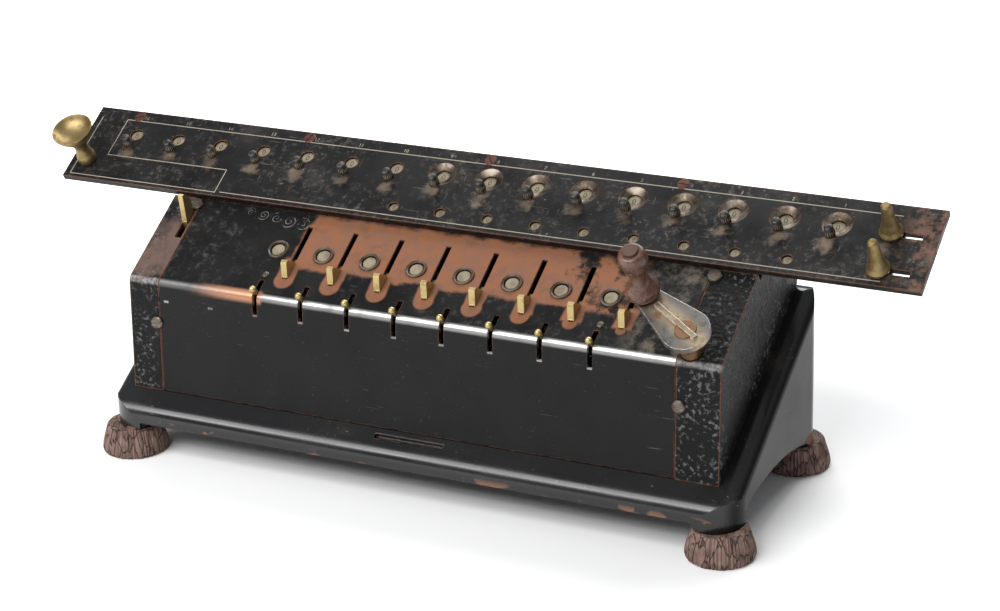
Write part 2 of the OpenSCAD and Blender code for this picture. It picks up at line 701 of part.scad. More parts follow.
// Crank shaft: collar above the plate, shaft and bevel below
module crank_shaft() color("#8f8a82") on_slope(crank_shaft_x, crank_v, 0) {
    translate([0, 0, -drum_n]) bevel(bevel_r, bevel_face, 0);
    translate([0, 0, bevel_r - drum_n]) cylinder(h = drum_n - bevel_r + 1, r = 4);
    translate([0, 0, gap]) cylinder(h = arm_n - gap, r = collar_r);
    translate([0, 0, arm_n]) difference() {
        cylinder(h = arm_t + 0.6, r = collar_r - 0.4);
        rotate(arm_angle) translate([-collar_r, -1.4, 1]) cube([2 * collar_r, 2.8, arm_t]);
    }
}

// Crank arm: pear-shaped plate with a tongue through the shaft's slot, and the handle's pin
module crank_arm() color("#a39c90") on_slope(crank_shaft_x, crank_v, 0) rotate(arm_angle) {
    side = acos((arm_hub_r - arm_tip_r) / crank_r);
    edge = [cos(side), sin(side)];
    tip = [crank_r, 0];
    translate([0, 0, arm_n]) difference() {
        linear_extrude(arm_t) {
            circle(arm_hub_r);
            translate(tip) circle(arm_tip_r);
            polygon([arm_hub_r * edge, tip + arm_tip_r * edge,
                tip + arm_tip_r * [edge[0], -edge[1]], arm_hub_r * [edge[0], -edge[1]]]);
        }
        translate([0, 0, -1]) cylinder(h = arm_t + 2, r = collar_r - 0.4);
    }
    translate([-collar_r - 2, -1.4, arm_n + 1]) cube([crank_r - 2, 2.8, arm_t]);
    translate([crank_r, 0, arm_n]) cylinder(h = arm_t + gap + handle_l + gap, r = handle_pin_r);
    translate([crank_r, 0, arm_n + arm_t + handle_l + 2 * gap]) cylinder(h = 0.8, r = handle_pin_r + 1.4);
}

// Turned handle: flange, waist and rounded knob
module crank_handle() color("#5b3422")
    on_slope(crank_shaft_x, crank_v, 0) rotate(arm_angle)
        translate([crank_r, 0, arm_n + arm_t + gap]) difference() {
            union() {
                cylinder(h = 3, r1 = handle_flange_r - 1.5, r2 = handle_flange_r);
                translate([0, 0, 3]) cylinder(h = 4, r1 = handle_flange_r, r2 = handle_flange_r - 2);
                translate([0, 0, 7]) cylinder(h = 5, r1 = handle_flange_r - 2, r2 = handle_waist_r);
                translate([0, 0, 12]) cylinder(h = handle_l - 24, r1 = handle_waist_r, r2 = handle_waist_r + 1);
                translate([0, 0, handle_l - 12]) cylinder(h = 5, r1 = handle_waist_r + 1, r2 = handle_knob_r);
                translate([0, 0, handle_l - 7]) cylinder(h = 5, r = handle_knob_r);
                translate([0, 0, handle_l - 2]) cylinder(h = 2, r1 = handle_knob_r, r2 = handle_knob_r - 2);
            }
            translate([0, 0, -1]) cylinder(h = handle_l + 2, r = handle_pin_r + gap);
        }

// Reversing lever: a fin with a curved rear edge, on a pin in the left wall
module reversing_lever() color("#b08d45")
    on_slope(seam_x0 - reverse_inset, reverse_v, -reverse_pivot_n) rotate([-reverse_lean, 0, 0])
        difference() {
            along_x(-1.5, 1.5) {
                circle(5);
                polygon([[-3, 0], [3, 0], [reverse_w - 1.6, reverse_pivot_n + 1],
                    [-reverse_w, reverse_pivot_n + 1]]);
                intersection() {
                    translate([reverse_w + 1 - reverse_round, reverse_pivot_n + reverse_h * 0.4])
                        circle(reverse_round);
                    polygon([[-reverse_w, reverse_pivot_n], [reverse_w + 2, reverse_pivot_n],
                        [reverse_w + 2, reverse_pivot_n + reverse_h],
                        [2.6 - reverse_w, reverse_pivot_n + reverse_h]]);
                }
            }
            translate([-3, 0, 0]) across() cylinder(h = 6, r = 2 + gap);
        }

// Carriage rod between the side walls
module carriage_rod() color("#b4b2ac") on_slope(house_x0, rod_v, -rod_n) across()
    cylinder(h = house_x1 - house_x0, r = rod_r);

// Carriage bushes: they slide on the rod and carry the hinge lugs
lug_xs = [for (k = [5, 8]) dial_x(k) + column_pitch / 2];
module carriage_bushes() color("#b08d45") for (x = lug_xs) on_slope(x, rod_v, -rod_n) across()
    difference() {
        union() {
            translate([0, 0, -lug_l / 2 - 2]) cylinder(h = lug_l + 4, r = bush_r);
            for (z = [-lug_l / 2 - 2, lug_l / 2 + gap]) translate([0, 0, z])
                cylinder(h = 2 - gap, r = bush_r + 1.4);
        }
        translate([0, 0, -lug_l]) cylinder(h = 2 * lug_l, r = rod_r + gap);
    }

// Carriage plate with hinge lugs, dial windows, dishes and clearing slots
dish_sphere = (dial_dish_r * dial_dish_r + dial_dish_d * dial_dish_d) / (2 * dial_dish_d);
function counter_x(i) = dial_x(dials - counters + i) - counter_offset;
clear_x = carriage_x1 - clear_inset;

module carriage_plate() color("#1b1b1d") on_slope() difference() {
    union() {
        bar(carriage_x0, carriage_x1, carriage_v, carriage_v + carriage_w, carriage_gap, plate_top_n);
        for (x = lug_xs) translate([x, 0, 0]) {
            translate([-lug_l / 2, rod_v, -rod_n]) across() cylinder(h = lug_l, r = lug_r);
            bar(-lug_l / 2, lug_l / 2, rod_v - 5, rod_v + 5, -rod_n, plate_top_n - 1);
        }
    }
    for (x = lug_xs) translate([x - lug_l, rod_v, -rod_n]) across()
        cylinder(h = 2 * lug_l, r = bush_r + gap);
    for (i = [0 : dials - 1]) translate([dial_x(i), dial_v, 0]) {
        translate([0, 0, -1]) cylinder(h = 9, r = dial_axle_r + gap);
        translate([dial_window_x, dial_window_v, -1]) cylinder(h = 9, r = dial_window_r);
        if (i >= first_dished) translate([dial_window_x, dial_window_v,
            plate_top_n - dial_dish_d + dish_sphere]) sphere(dish_sphere, $fn = 96);
    }
    for (i = [0 : counters - 1]) translate([counter_x(i), counter_v, -1])
        cylinder(h = 9, r = counter_window_r);
    for (v = [clear_result_v, clear_counter_v])
        bar(clear_x - 2 - gap, clear_x + 2 + gap + clear_travel, v - 1.8, v + 1.8, -1, 9);
}

// Result dial: disc, axle, crown gear below and twirl knob above
module result_dial(i) color("#cfc6a4") on_slope(dial_x(i), dial_v, 0) {
    top = carriage_gap - gap;
    rotate_extrude() polygon([[0, -8.2], [6.4, -8.2], [6.4, -6], [dial_axle_r, -6],
        [dial_axle_r, top - dial_t], [dial_r, top - dial_t], [dial_r, top], [dial_axle_r, top],
        [dial_axle_r, plate_top_n + gap], [twirl_r, plate_top_n + gap],
        [twirl_r, plate_top_n + twirl_h - 3], [twirl_r - 1.2, plate_top_n + twirl_h - 2.2],
        [twirl_r - 0.6, plate_top_n + twirl_h - 1], [twirl_r - 1.4, plate_top_n + twirl_h],
        [0, plate_top_n + twirl_h]]);
}

// Counter dials under the front row of windows
module counter_dials() color("#cfc6a4") for (i = [0 : counters - 1])
    on_slope(counter_x(i), counter_v, carriage_gap - dial_t) cylinder(h = dial_t, r = counter_r);

// Brass knob at the carriage's left end, dished on top
module carriage_knob() color("#b08d45") on_slope(carriage_x0 + knob_x, carriage_v + knob_v, plate_top_n)
    rotate_extrude() polygon([[0, 0], [knob_foot_r, 0], [knob_foot_r, 6], [knob_neck_r + 1, 8],
        [knob_neck_r, 11], [knob_neck_r + 0.4, dish_h - 14], [knob_neck_r + 2, dish_h - 10],
        [dish_r - 3.4, dish_h - 6], [dish_r - 0.9, dish_h - 3], [dish_r, dish_h - 0.8],
        [dish_r - 0.5, dish_h], [dish_r - 1.2, dish_h - 0.5], [dish_r - 3, dish_h - 2.6],
        [dish_r - 7, dish_h - 4.6], [0, dish_h - 5.2]]);

// Clearing slide: flared knob, shank through the slot and runner under the plate
module clear_slide(v) color("#b08d45") on_slope(clear_x, v, 0) {
    bar(-2, 2, -1.5, 1.5, -1.4, plate_top_n + 0.8);
    bar(-6, 6, -3.4, 3.4, -1.8, carriage_gap - gap);
    translate([0, 0, plate_top_n + gap]) rotate_extrude() polygon([[0, 0], [cone_r - 0.4, 0],
        [cone_r, 0.6], [cone_r, 1.8], [cone_r - 1.2, 4], [cone_top_r + 1.2, cone_h * 0.4],
        [cone_top_r + 0.4, cone_h * 0.72], [cone_top_r, cone_h - 1.2], [cone_top_r - 0.8, cone_h],
        [0, cone_h]]);
}
module clear_slide_result() clear_slide(clear_result_v);
module clear_slide_counter() clear_slide(clear_counter_v);

base_casting();
rubber_feet();
housing();
setting_plate();
cover_screws();
mechanism_frame();
counting_shafts();
check_rollers();
drive_shaft();
crank_shaft();
crank_arm();
crank_handle();
reversing_lever();
carriage_rod();
carriage_bushes();
carriage_plate();
carriage_knob();
counter_dials();
clear_slide_result();
clear_slide_counter();
for (i = [0 : columns - 1]) setting_lever(i);
for (i = [0 : columns - 1]) marker_lever(i);
for (i = [0 : columns - 1]) stepped_drum(i);
for (i = [0 : dials - 1]) result_dial(i);
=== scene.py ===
"""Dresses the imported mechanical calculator: finishes, turned pieces, windows, marks, light and camera."""

import json
import math

import bpy
from mathutils import Matrix, Vector


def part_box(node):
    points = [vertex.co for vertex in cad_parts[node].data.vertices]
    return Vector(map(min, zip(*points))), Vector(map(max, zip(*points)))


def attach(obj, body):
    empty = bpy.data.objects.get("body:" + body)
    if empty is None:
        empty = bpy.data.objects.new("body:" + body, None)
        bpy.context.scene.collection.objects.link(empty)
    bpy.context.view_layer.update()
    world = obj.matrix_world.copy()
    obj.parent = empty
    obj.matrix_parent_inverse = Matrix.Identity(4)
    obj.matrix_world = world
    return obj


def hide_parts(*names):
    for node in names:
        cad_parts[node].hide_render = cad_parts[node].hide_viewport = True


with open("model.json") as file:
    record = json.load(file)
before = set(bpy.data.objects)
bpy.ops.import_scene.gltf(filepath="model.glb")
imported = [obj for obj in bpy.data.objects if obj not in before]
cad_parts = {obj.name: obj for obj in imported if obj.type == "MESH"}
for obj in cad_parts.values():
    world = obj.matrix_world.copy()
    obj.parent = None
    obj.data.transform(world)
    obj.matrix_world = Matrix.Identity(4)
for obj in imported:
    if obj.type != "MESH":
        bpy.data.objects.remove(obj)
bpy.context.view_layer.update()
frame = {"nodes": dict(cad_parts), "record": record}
nodes = frame["nodes"]
scene = bpy.context.scene
scene.view_settings.view_transform = "Standard"

MM = 0.001

# Slope frame: x along the machine, v up the setting plate, n out of it, from the plate's bend
TILT = math.radians(30.3)
BEND = Vector((0, -51.25, 100.2)) * MM
SLOPE = Matrix.Translation(BEND) @ Matrix.Rotation(TILT, 4, "X")
FROM_SLOPE = SLOPE.inverted()

COLUMN_PITCH = 28
DIALS = 16
LEVERS = 8
COUNTERS = 9


def slope_box(node):
    """Lowest and highest corner of a CAD node, in slope millimetres."""
    places = [FROM_SLOPE @ vertex.co / MM for vertex in nodes[node].data.vertices]
    low = Vector(min(place[axis] for place in places) for axis in range(3))
    high = Vector(max(place[axis] for place in places) for axis in range(3))
    return low, high


def centre_of(node):
    """Middle of a CAD node, in slope millimetres."""
    low, high = slope_box(node)
    return (low + high) / 2


# Node helpers


def put(tree, kind, **settings):
    made = tree.nodes.new(kind)
    for key, value in settings.items():
        setattr(made, key, value)
    return made


def feed(tree, socket, value):
    if isinstance(value, bpy.types.NodeSocket):
        tree.links.new(value, socket)
    else:
        socket.default_value = value


def calc(tree, operation, *values):
    made = put(tree, "ShaderNodeMath", operation=operation)
    for socket, value in zip(made.inputs, values):
        feed(tree, socket, value)
    return made.outputs[0]


def share(tree, value, part):
    return calc(tree, "MULTIPLY", value, part)


def length_of(tree, across, along):
    squares = calc(tree, "ADD", calc(tree, "POWER", across, 2), calc(tree, "POWER", along, 2))
    return calc(tree, "SQRT", squares)


def vector_calc(tree, operation, *values):
    made = put(tree, "ShaderNodeVectorMath", operation=operation)
    for socket, value in zip(made.inputs, values):
        feed(tree, socket, value)
    return made.outputs[0]


def noise(tree, place, scale, detail=3.0, rough=0.55, stretch=None):
    if stretch:
        place = vector_calc(tree, "MULTIPLY", place, stretch)
    made = put(tree, "ShaderNodeTexNoise")
    feed(tree, made.inputs["Vector"], place)
    made.inputs["Scale"].default_value = scale
    made.inputs["Detail"].default_value = detail
    made.inputs["Roughness"].default_value = rough
    return made.outputs["Fac"]


def cells(tree, place, scale, feature="F1", stretch=None):
    if stretch:
        place = vector_calc(tree, "MULTIPLY", place, stretch)
    made = put(tree, "ShaderNodeTexVoronoi", feature=feature)
    feed(tree, made.inputs["Vector"], place)
    made.inputs["Scale"].default_value = scale
    return made.outputs["Distance"]


def span(tree, value, low, high, to_low=0.0, to_high=1.0):
    """Smooth step from to_low at low to to_high at high."""
    made = put(tree, "ShaderNodeMapRange", interpolation_type="SMOOTHSTEP")
    names = ("Value", "From Min", "From Max", "To Min", "To Max")
    for name, given in zip(names, (value, low, high, to_low, to_high)):
        feed(tree, made.inputs[name], given)
    return made.outputs["Result"]


def blend_colour(tree, mask, below, above):
    made = put(tree, "ShaderNodeMix", data_type="RGBA")
    feed(tree, made.inputs["Factor"], mask)
    feed(tree, made.inputs[6], below)
    feed(tree, made.inputs[7], above)
    return made.outputs[2]


def blend_value(tree, mask, below, above):
    made = put(tree, "ShaderNodeMix", data_type="FLOAT")
    feed(tree, made.inputs["Factor"], mask)
    feed(tree, made.inputs[2], below)
    feed(tree, made.inputs[3], above)
    return made.outputs[0]


def bump(tree, height, strength, depth, normal=None):
    made = put(tree, "ShaderNodeBump")
    made.inputs["Strength"].default_value = strength
    made.inputs["Distance"].default_value = depth * MM
    feed(tree, made.inputs["Height"], height)
    if normal:
        feed(tree, made.inputs["Normal"], normal)
    return made.outputs["Normal"]


def either(tree, *masks):
    result = masks[0]
    for mask in masks[1:]:
        result = calc(tree, "MAXIMUM", result, mask)
    return result


def both(tree, *masks):
    result = masks[0]
    for mask in masks[1:]:
        result = calc(tree, "MULTIPLY", result, mask)
    return result


def new_group(name, inputs, outputs):
    group = bpy.data.node_groups.new(name, "ShaderNodeTree")
    for label, kind, value in inputs:
        socket = group.interface.new_socket(label, in_out="INPUT", socket_type=kind)
        if value is not None:
            socket.default_value = value
    for label, kind in outputs:
        group.interface.new_socket(label, in_out="OUTPUT", socket_type=kind)
    return group, group.nodes.new("NodeGroupInput").outputs, group.nodes.new("NodeGroupOutput").inputs


def use_group(tree, group, **inputs):
    made = put(tree, "ShaderNodeGroup", node_tree=group)
    for label, value in inputs.items():
        feed(tree, made.inputs[label], value)
    return made.outputs


FLOAT = "NodeSocketFloat"
VECTOR = "NodeSocketVector"


def make_slope_place():
    """Object coordinates turned into slope millimetres."""
    group, given, out = new_group(
        "slope_place",
        [("Place", VECTOR, None)],
        [("Slope", VECTOR), ("X", FLOAT), ("V", FLOAT), ("N", FLOAT)],
    )
    moved = vector_calc(group, "SUBTRACT", given["Place"], tuple(BEND))
    turned = put(group, "ShaderNodeVectorRotate", rotation_type="X_AXIS")
    feed(group, turned.inputs["Vector"], moved)
    turned.inputs["Angle"].default_value = -TILT
    scaled = vector_calc(group, "MULTIPLY", turned.outputs[0], (1 / MM, 1 / MM, 1 / MM))
    parts = put(group, "ShaderNodeSeparateXYZ")
    feed(group, parts.inputs[0], scaled)
    feed(group, out["Slope"], scaled)
    for label, socket in zip("XVN", parts.outputs):
        feed(group, out[label], socket)
    return group


def make_edge_wear():
    """Soft edge normal, and a mask where paint has rubbed off the edges."""
    group, given, out = new_group(
        "edge_wear",
        [("Place", VECTOR, None), ("Radius", FLOAT, 0.001), ("Amount", FLOAT, 0.5)],
        [("Worn", FLOAT), ("Normal", VECTOR)],
    )
    soft = put(group, "ShaderNodeBevel", samples=4)
    feed(group, soft.inputs["Radius"], given["Radius"])
    true = put(group, "ShaderNodeNewGeometry")
    dot = put(group, "ShaderNodeVectorMath", operation="DOT_PRODUCT")
    feed(group, dot.inputs[0], soft.outputs[0])
    feed(group, dot.inputs[1], true.outputs["True Normal"])
    edge = span(group, dot.outputs["Value"], 0.999, 0.9)
    patchy = noise(group, given["Place"], 160, 5, 0.65)
    reach = span(group, calc(group, "ADD", patchy, given["Amount"]), 0.85, 1.1)
    feed(group, out["Worn"], both(group, edge, reach))
    feed(group, out["Normal"], soft.outputs[0])
    return group


def make_scratches():
    """Mask of thin scratches in two directions."""
    group, given, out = new_group(
        "scratches",
        [("Slope", VECTOR, None), ("Amount", FLOAT, 0.3)],
        [("Mask", FLOAT)],
    )
    limit = calc(group, "SUBTRACT", 0.8, share(group, given["Amount"], 0.18))
    full = calc(group, "ADD", limit, 0.05)
    along = noise(group, given["Slope"], 1.0, 2, 0.5, (0.05, 1.9, 1.9))
    across = noise(group, given["Slope"], 1.0, 2, 0.5, (1.7, 0.07, 1.7))
    where = span(group, noise(group, given["Slope"], 0.035, 2), 0.42, 0.62)
    lines = either(group, span(group, along, limit, full), span(group, across, limit, full))
    feed(group, out["Mask"], both(group, lines, where))
    return group


def make_dust():
    """Mask of dust and grime: pale specks and soft clouds."""
    group, given, out = new_group(
        "dust",
        [("Place", VECTOR, None), ("Amount", FLOAT, 0.3)],
        [("Cloud", FLOAT), ("Specks", FLOAT)],
    )
    cloud = noise(group, given["Place"], 28, 6, 0.62)
    low = calc(group, "SUBTRACT", 0.72, share(group, given["Amount"], 0.4))
    feed(group, out["Cloud"], span(group, cloud, low, calc(group, "ADD", low, 0.3)))
    grain = noise(group, given["Place"], 520, 3, 0.7)
    speck = calc(group, "ADD", grain, share(group, cloud, 0.2))
    feed(group, out["Specks"], span(group, speck, 0.78, 0.86))
    return group


slope_place = make_slope_place()
edge_wear = make_edge_wear()
scratches = make_scratches()
dust = make_dust()


def start_finish(name):
    """New material: its node tree, its Principled shader and its Object coordinates."""
    finish = bpy.data.materials.new(name)
    finish.use_nodes = True
    tree = finish.node_tree
    shader = next(n for n in tree.nodes if n.type == "BSDF_PRINCIPLED")
    place = put(tree, "ShaderNodeTexCoord").outputs["Object"]
    return finish, tree, shader.inputs, place


# Finishes

# Carriage: height of its top, dial windows from a dial's axle, dishes and dust below the dials
CARRIAGE_TOP = 4.0
WINDOW_BESIDE = 1.6
WINDOW_ABOVE = 7.4
FIRST_DISHED = 8
DISH_R = 8.0
SMEAR_BELOW = 5.5

# Engraved lines of the carriage: the long frame, and the panel at its left end
FRAME_LEFT = -232
FRAME_RIGHT = 231
FRAME_FRONT = 63
FRAME_REAR = 106
PANEL_LEFT = -249
PANEL_RIGHT = -153
PANEL_FRONT = 62.5
PANEL_REAR = 79

# Where paint is worn: below the rail's edge, on the left band and at the carriage's right end
CHIPS_BELOW_Z = 25
LEFT_BAND_X = -159
WORN_END_X = 228

# Setting plate: lower ends of the marker slits, feet of the lever slots, and the worn row of scrolls
SLIT_END = -9.2
SLOT_FOOT_V = 13.2
SCROLLS = 5
SCROLL_FROM = 6
SCROLL_STEP = 8.5
SCROLL_V = 51.5
SCROLL_R = 5.2

BLACK = (0.005, 0.005, 0.0055, 1)
PRIMER = (0.16, 0.075, 0.045, 1)
COPPER = (0.215, 0.086, 0.041, 1)
GRIME = (0.16, 0.14, 0.115, 1)
BARE_STEEL = (0.5, 0.49, 0.48, 1)
PALE_GREY = (0.3, 0.29, 0.28, 1)


def base_enamel():
    """Black enamel, glossy on the rail, dull on the sides and chipped along the rail's lower edge."""
    finish, tree, shader, place = start_finish("base_enamel")
    facing = put(tree, "ShaderNodeSeparateXYZ")
    feed(tree, facing.inputs[0], put(tree, "ShaderNodeNewGeometry").outputs["True Normal"])
    dull = span(tree, calc(tree, "ABSOLUTE", facing.outputs["X"]), 0.6, 0.9)
    feed(tree, shader["Specular IOR Level"], blend_value(tree, dull, 0.62, 0.12))
    worn = use_group(tree, edge_wear, Place=place, Radius=1.2 * MM, Amount=0.42)
    film = use_group(tree, dust, Place=place, Amount=0.32)
    height = put(tree, "ShaderNodeSeparateXYZ")
    feed(tree, height.inputs[0], place)
    low = span(tree, height.outputs["Z"], CHIPS_BELOW_Z * MM, (CHIPS_BELOW_Z - 4) * MM)
    chips = both(tree, low, span(tree, noise(tree, place, 75, 4, 0.5, (0.5, 1, 1)), 0.55, 0.59))
    bare = either(tree, chips, worn["Worn"])
    colour = blend_colour(tree, share(tree, film["Cloud"], 0.16), BLACK, GRIME)
    colour = blend_colour(tree, share(tree, film["Specks"], 0.5), colour, (0.3, 0.29, 0.27, 1))
    feed(tree, shader["Base Color"], blend_colour(tree, bare, colour, PRIMER))
    smear = noise(tree, place, 22, 5, 0.6)
    rough = span(tree, smear, 0.3, 0.75, 0.16, 0.3)
    feed(tree, shader["Roughness"], blend_value(tree, bare, rough, 0.7))
    ripple = noise(tree, place, 90, 2, 0.4)
    feed(tree, shader["Normal"], bump(tree, ripple, 0.12, 0.4, worn["Normal"]))
    return finish


def from_bend(tree, slope):
    """Distance from the plate's bend, over the top and down the front."""
    return calc(tree, "ABSOLUTE", calc(tree, "ADD", slope["V"], share(tree, slope["N"], 0.28)))


def crackle_paint():
    """Black wrinkle paint with grey flecks, worn brown on the left band's top, and pale along the bend:
    partly a worn edge, partly a painted highlight.
    """
    finish, tree, shader, place = start_finish("crackle_paint")
    shader["Specular IOR Level"].default_value = 0.14
    slope = use_group(tree, slope_place, Place=place)
    worn = use_group(tree, edge_wear, Place=place, Radius=1.1 * MM, Amount=0.62)
    flecks = noise(tree, place, 420, 3, 0.6)
    wrinkle = cells(tree, place, 620, "SMOOTH_F1")
    grey = both(tree, span(tree, flecks, 0.52, 0.66), span(tree, noise(tree, place, 45, 3), 0.35, 0.6))
    colour = blend_colour(tree, share(tree, grey, 0.75), BLACK, (0.14, 0.14, 0.14, 1))
    top = both(tree, span(tree, slope["N"], -3, -0.8), span(tree, slope["X"], LEFT_BAND_X, LEFT_BAND_X - 1.5))
    rubbed = both(tree, top, span(tree, noise(tree, place, 34, 4, 0.6), 0.34, 0.6))
    colour = blend_colour(tree, share(tree, rubbed, 0.85), colour, (0.13, 0.085, 0.07, 1))
    # Pale grey along the bend: partly a worn edge, partly a painted highlight that carries the plate's bend
    # highlight onto the bands
    bend = both(
        tree,
        span(tree, from_bend(tree, slope), 2.6, 0.8),
        span(tree, slope["N"], -4, -2),
        span(tree, flecks, 0.35, 0.6, 0.25, 0.75),
    )
    colour = blend_colour(tree, bend, colour, PALE_GREY)
    feed(tree, shader["Base Color"], blend_colour(tree, worn["Worn"], colour, COPPER))
    feed(tree, shader["Roughness"], blend_value(tree, rubbed, span(tree, flecks, 0.3, 0.7, 0.34, 0.6), 0.4))
    relief = calc(tree, "ADD", wrinkle, share(tree, flecks, 0.6))
    feed(tree, shader["Normal"], bump(tree, relief, 0.5, 0.5, worn["Normal"]))
    return finish


def scroll(tree, slope, x, v, radius, way):
    """Mask of one spiral scroll line about a place on the plate."""
    dx = calc(tree, "SUBTRACT", slope["X"], x)
    dv = calc(tree, "SUBTRACT", slope["V"], v)
    out = length_of(tree, dx, dv)
    angle = share(tree, calc(tree, "ARCTAN2", dv, dx), way / (2 * math.pi))
    turns = calc(tree, "FRACT", calc(tree, "SUBTRACT", calc(tree, "DIVIDE", out, radius / 2), angle))
    off_line = calc(tree, "ABSOLUTE", calc(tree, "SUBTRACT", turns, 0.5))
    return both(tree, span(tree, off_line, 0.13, 0.07), span(tree, out, radius, radius - 0.4))


def plate_lacquer():
    """Smooth black lacquer, rubbed to copper round the slots and to bright metal along the bend."""
    finish, tree, shader, place = start_finish("plate_lacquer")
    shader["Specular IOR Level"].default_value = 0.18
    slope = use_group(tree, slope_place, Place=place)
    worn = use_group(tree, edge_wear, Place=place, Radius=0.7 * MM, Amount=0.5)
    marks = use_group(tree, scratches, Slope=slope["Slope"], Amount=0.5)
    film = use_group(tree, dust, Place=place, Amount=0.35)
    lever_1 = centre_of("setting_lever_1").x
    last_lever = lever_1 + (LEVERS - 1) * COLUMN_PITCH
    first_slit = centre_of("marker_lever_1").x
    last_slit = first_slit + (LEVERS - 1) * COLUMN_PITCH

    def columns(count):
        return lever_1 + count * COLUMN_PITCH

    ragged = noise(tree, place, 62, 5, 0.6)
    shift = share(tree, calc(tree, "SUBTRACT", ragged, 0.5), 22)
    across = calc(tree, "ADD", slope["X"], shift)
    up = calc(tree, "ADD", slope["V"], share(tree, shift, 0.55))
    column = calc(tree, "PINGPONG", calc(tree, "SUBTRACT", slope["X"], lever_1), COLUMN_PITCH / 2)
    field = both(
        tree,
        span(tree, across, lever_1 - 2, lever_1 + 2),
        span(tree, across, columns(7.2), columns(6.6)),
        span(tree, up, 21, 24),
        span(tree, up, 61, 57),
    )
    foot = length_of(tree, column, calc(tree, "SUBTRACT", slope["V"], SLOT_FOOT_V))
    in_columns = both(
        tree,
        span(tree, slope["X"], lever_1 - 9, lever_1 - 8),
        span(tree, slope["X"], last_lever + 9, last_lever + 8),
    )
    reach = span(tree, across, columns(4.2), columns(7.5), 6.4, 3.2)
    around_foot = both(tree, span(tree, foot, reach, calc(tree, "SUBTRACT", reach, 1.4)), in_columns)
    neck = both(
        tree,
        span(tree, calc(tree, "ADD", column, share(tree, shift, 0.2)), 6.4, 4.6),
        span(tree, slope["V"], 13, 15),
        span(tree, slope["V"], 30, 26),
        in_columns,
    )
    on_top = span(tree, slope["N"], -1.6, -0.4)
    fading = span(tree, slope["X"], columns(3.8), columns(6.8), 0.3, -0.05)
    blotch = calc(tree, "ADD", noise(tree, place, 48, 6, 0.68), fading)
    field = both(tree, field, span(tree, blotch, 0.44, 0.56))
    copper = both(tree, either(tree, field, around_foot, neck), on_top)
    bend_v = from_bend(tree, slope)
    bend = both(
        tree,
        span(tree, bend_v, 2.8, 0.7),
        span(tree, ragged, 0.28, 0.5, 0.6, 1),
        span(tree, slope["X"], lever_1 - 60, columns(1.5), 0.3, 1),
    )
    warm = both(
        tree,
        span(tree, bend_v, 4.5, 1.6),
        span(tree, across, first_slit - 46, first_slit - 8),
        span(tree, across, first_slit + 7, first_slit + 3),
    )
    near_top = span(tree, slope["N"], -2, -0.5)
    cloudy = both(tree, film["Cloud"], near_top)
    colour = blend_colour(tree, share(tree, cloudy, 0.22), BLACK, GRIME)
    scuffed = both(
        tree,
        span(tree, noise(tree, place, 210, 6, 0.75), 0.5, 0.68),
        span(tree, noise(tree, place, 30, 3), 0.38, 0.62),
        near_top,
    )
    colour = blend_colour(tree, share(tree, scuffed, 0.2), colour, (0.2, 0.185, 0.165, 1))
    by_crank = both(tree, span(tree, across, columns(6.8), columns(7.6)), near_top)
    dirty = both(tree, by_crank, span(tree, noise(tree, place, 85, 6, 0.72), 0.44, 0.66, 0.0, 0.5))
    colour = blend_colour(tree, dirty, colour, (0.21, 0.175, 0.135, 1))
    colour = blend_colour(tree, share(tree, marks["Mask"], 0.35), colour, PALE_GREY)
    colour = blend_colour(tree, share(tree, film["Specks"], 0.35), colour, GRIME)
    brown = span(tree, noise(tree, place, 130, 5, 0.65), 0.35, 0.7)
    dark = span(tree, noise(tree, place, 70, 6, 0.7), 0.5, 0.72, 0.0, 0.6)
    patina = blend_colour(tree, brown, COPPER, (0.17, 0.085, 0.055, 1))
    patina = blend_colour(tree, dark, patina, (0.1, 0.055, 0.036, 1))
    slit = calc(tree, "PINGPONG", calc(tree, "SUBTRACT", slope["X"], first_slit), COLUMN_PITCH / 2)
    past_end = calc(tree, "SUBTRACT", SLIT_END, slope["N"])
    slit_rim = both(
        tree,
        span(tree, slit, 1.7, 1.2),
        span(tree, past_end, -0.6, -0.2),
        span(tree, past_end, 0.9, 0.4),
        span(tree, slope["X"], last_slit + 4, last_slit + 3),
        span(tree, ragged, 0.35, 0.6, 0.15, 0.6),
    )
    colour = blend_colour(tree, slit_rim, colour, BARE_STEEL)
    curls = []
    for k in range(SCROLLS):
        x = lever_1 - SCROLL_FROM - SCROLL_STEP * k
        curls.append(scroll(tree, slope, x, SCROLL_V + k, SCROLL_R - 0.5 * k, 1 - 2 * (k % 2)))
    patchy = span(tree, noise(tree, place, 160, 4, 0.7), 0.42, 0.6)
    scrolls = both(tree, either(tree, *curls), patchy, on_top)
    colour = blend_colour(tree, share(tree, scrolls, 0.6), colour, (0.3, 0.28, 0.25, 1))
    colour = blend_colour(tree, copper, colour, patina)
    colour = blend_colour(tree, share(tree, bend, 0.8), colour, BARE_STEEL)
    colour = blend_colour(tree, warm, colour, (0.4, 0.2, 0.12, 1))
    feed(tree, shader["Base Color"], blend_colour(tree, worn["Worn"], colour, COPPER))
    feed(tree, shader["Metallic"], share(tree, bend, 0.8))
    satin = span(tree, noise(tree, place, 40, 4), 0.3, 0.7, 0.28, 0.45)
    satin = blend_value(tree, copper, satin, 0.42)
    feed(tree, shader["Roughness"], blend_value(tree, bend, satin, 0.3))
    relief = calc(tree, "SUBTRACT", share(tree, ragged, 0.25), share(tree, copper, 0.35))
    feed(tree, shader["Normal"], bump(tree, relief, 0.25, 0.3, worn["Normal"]))
    return finish


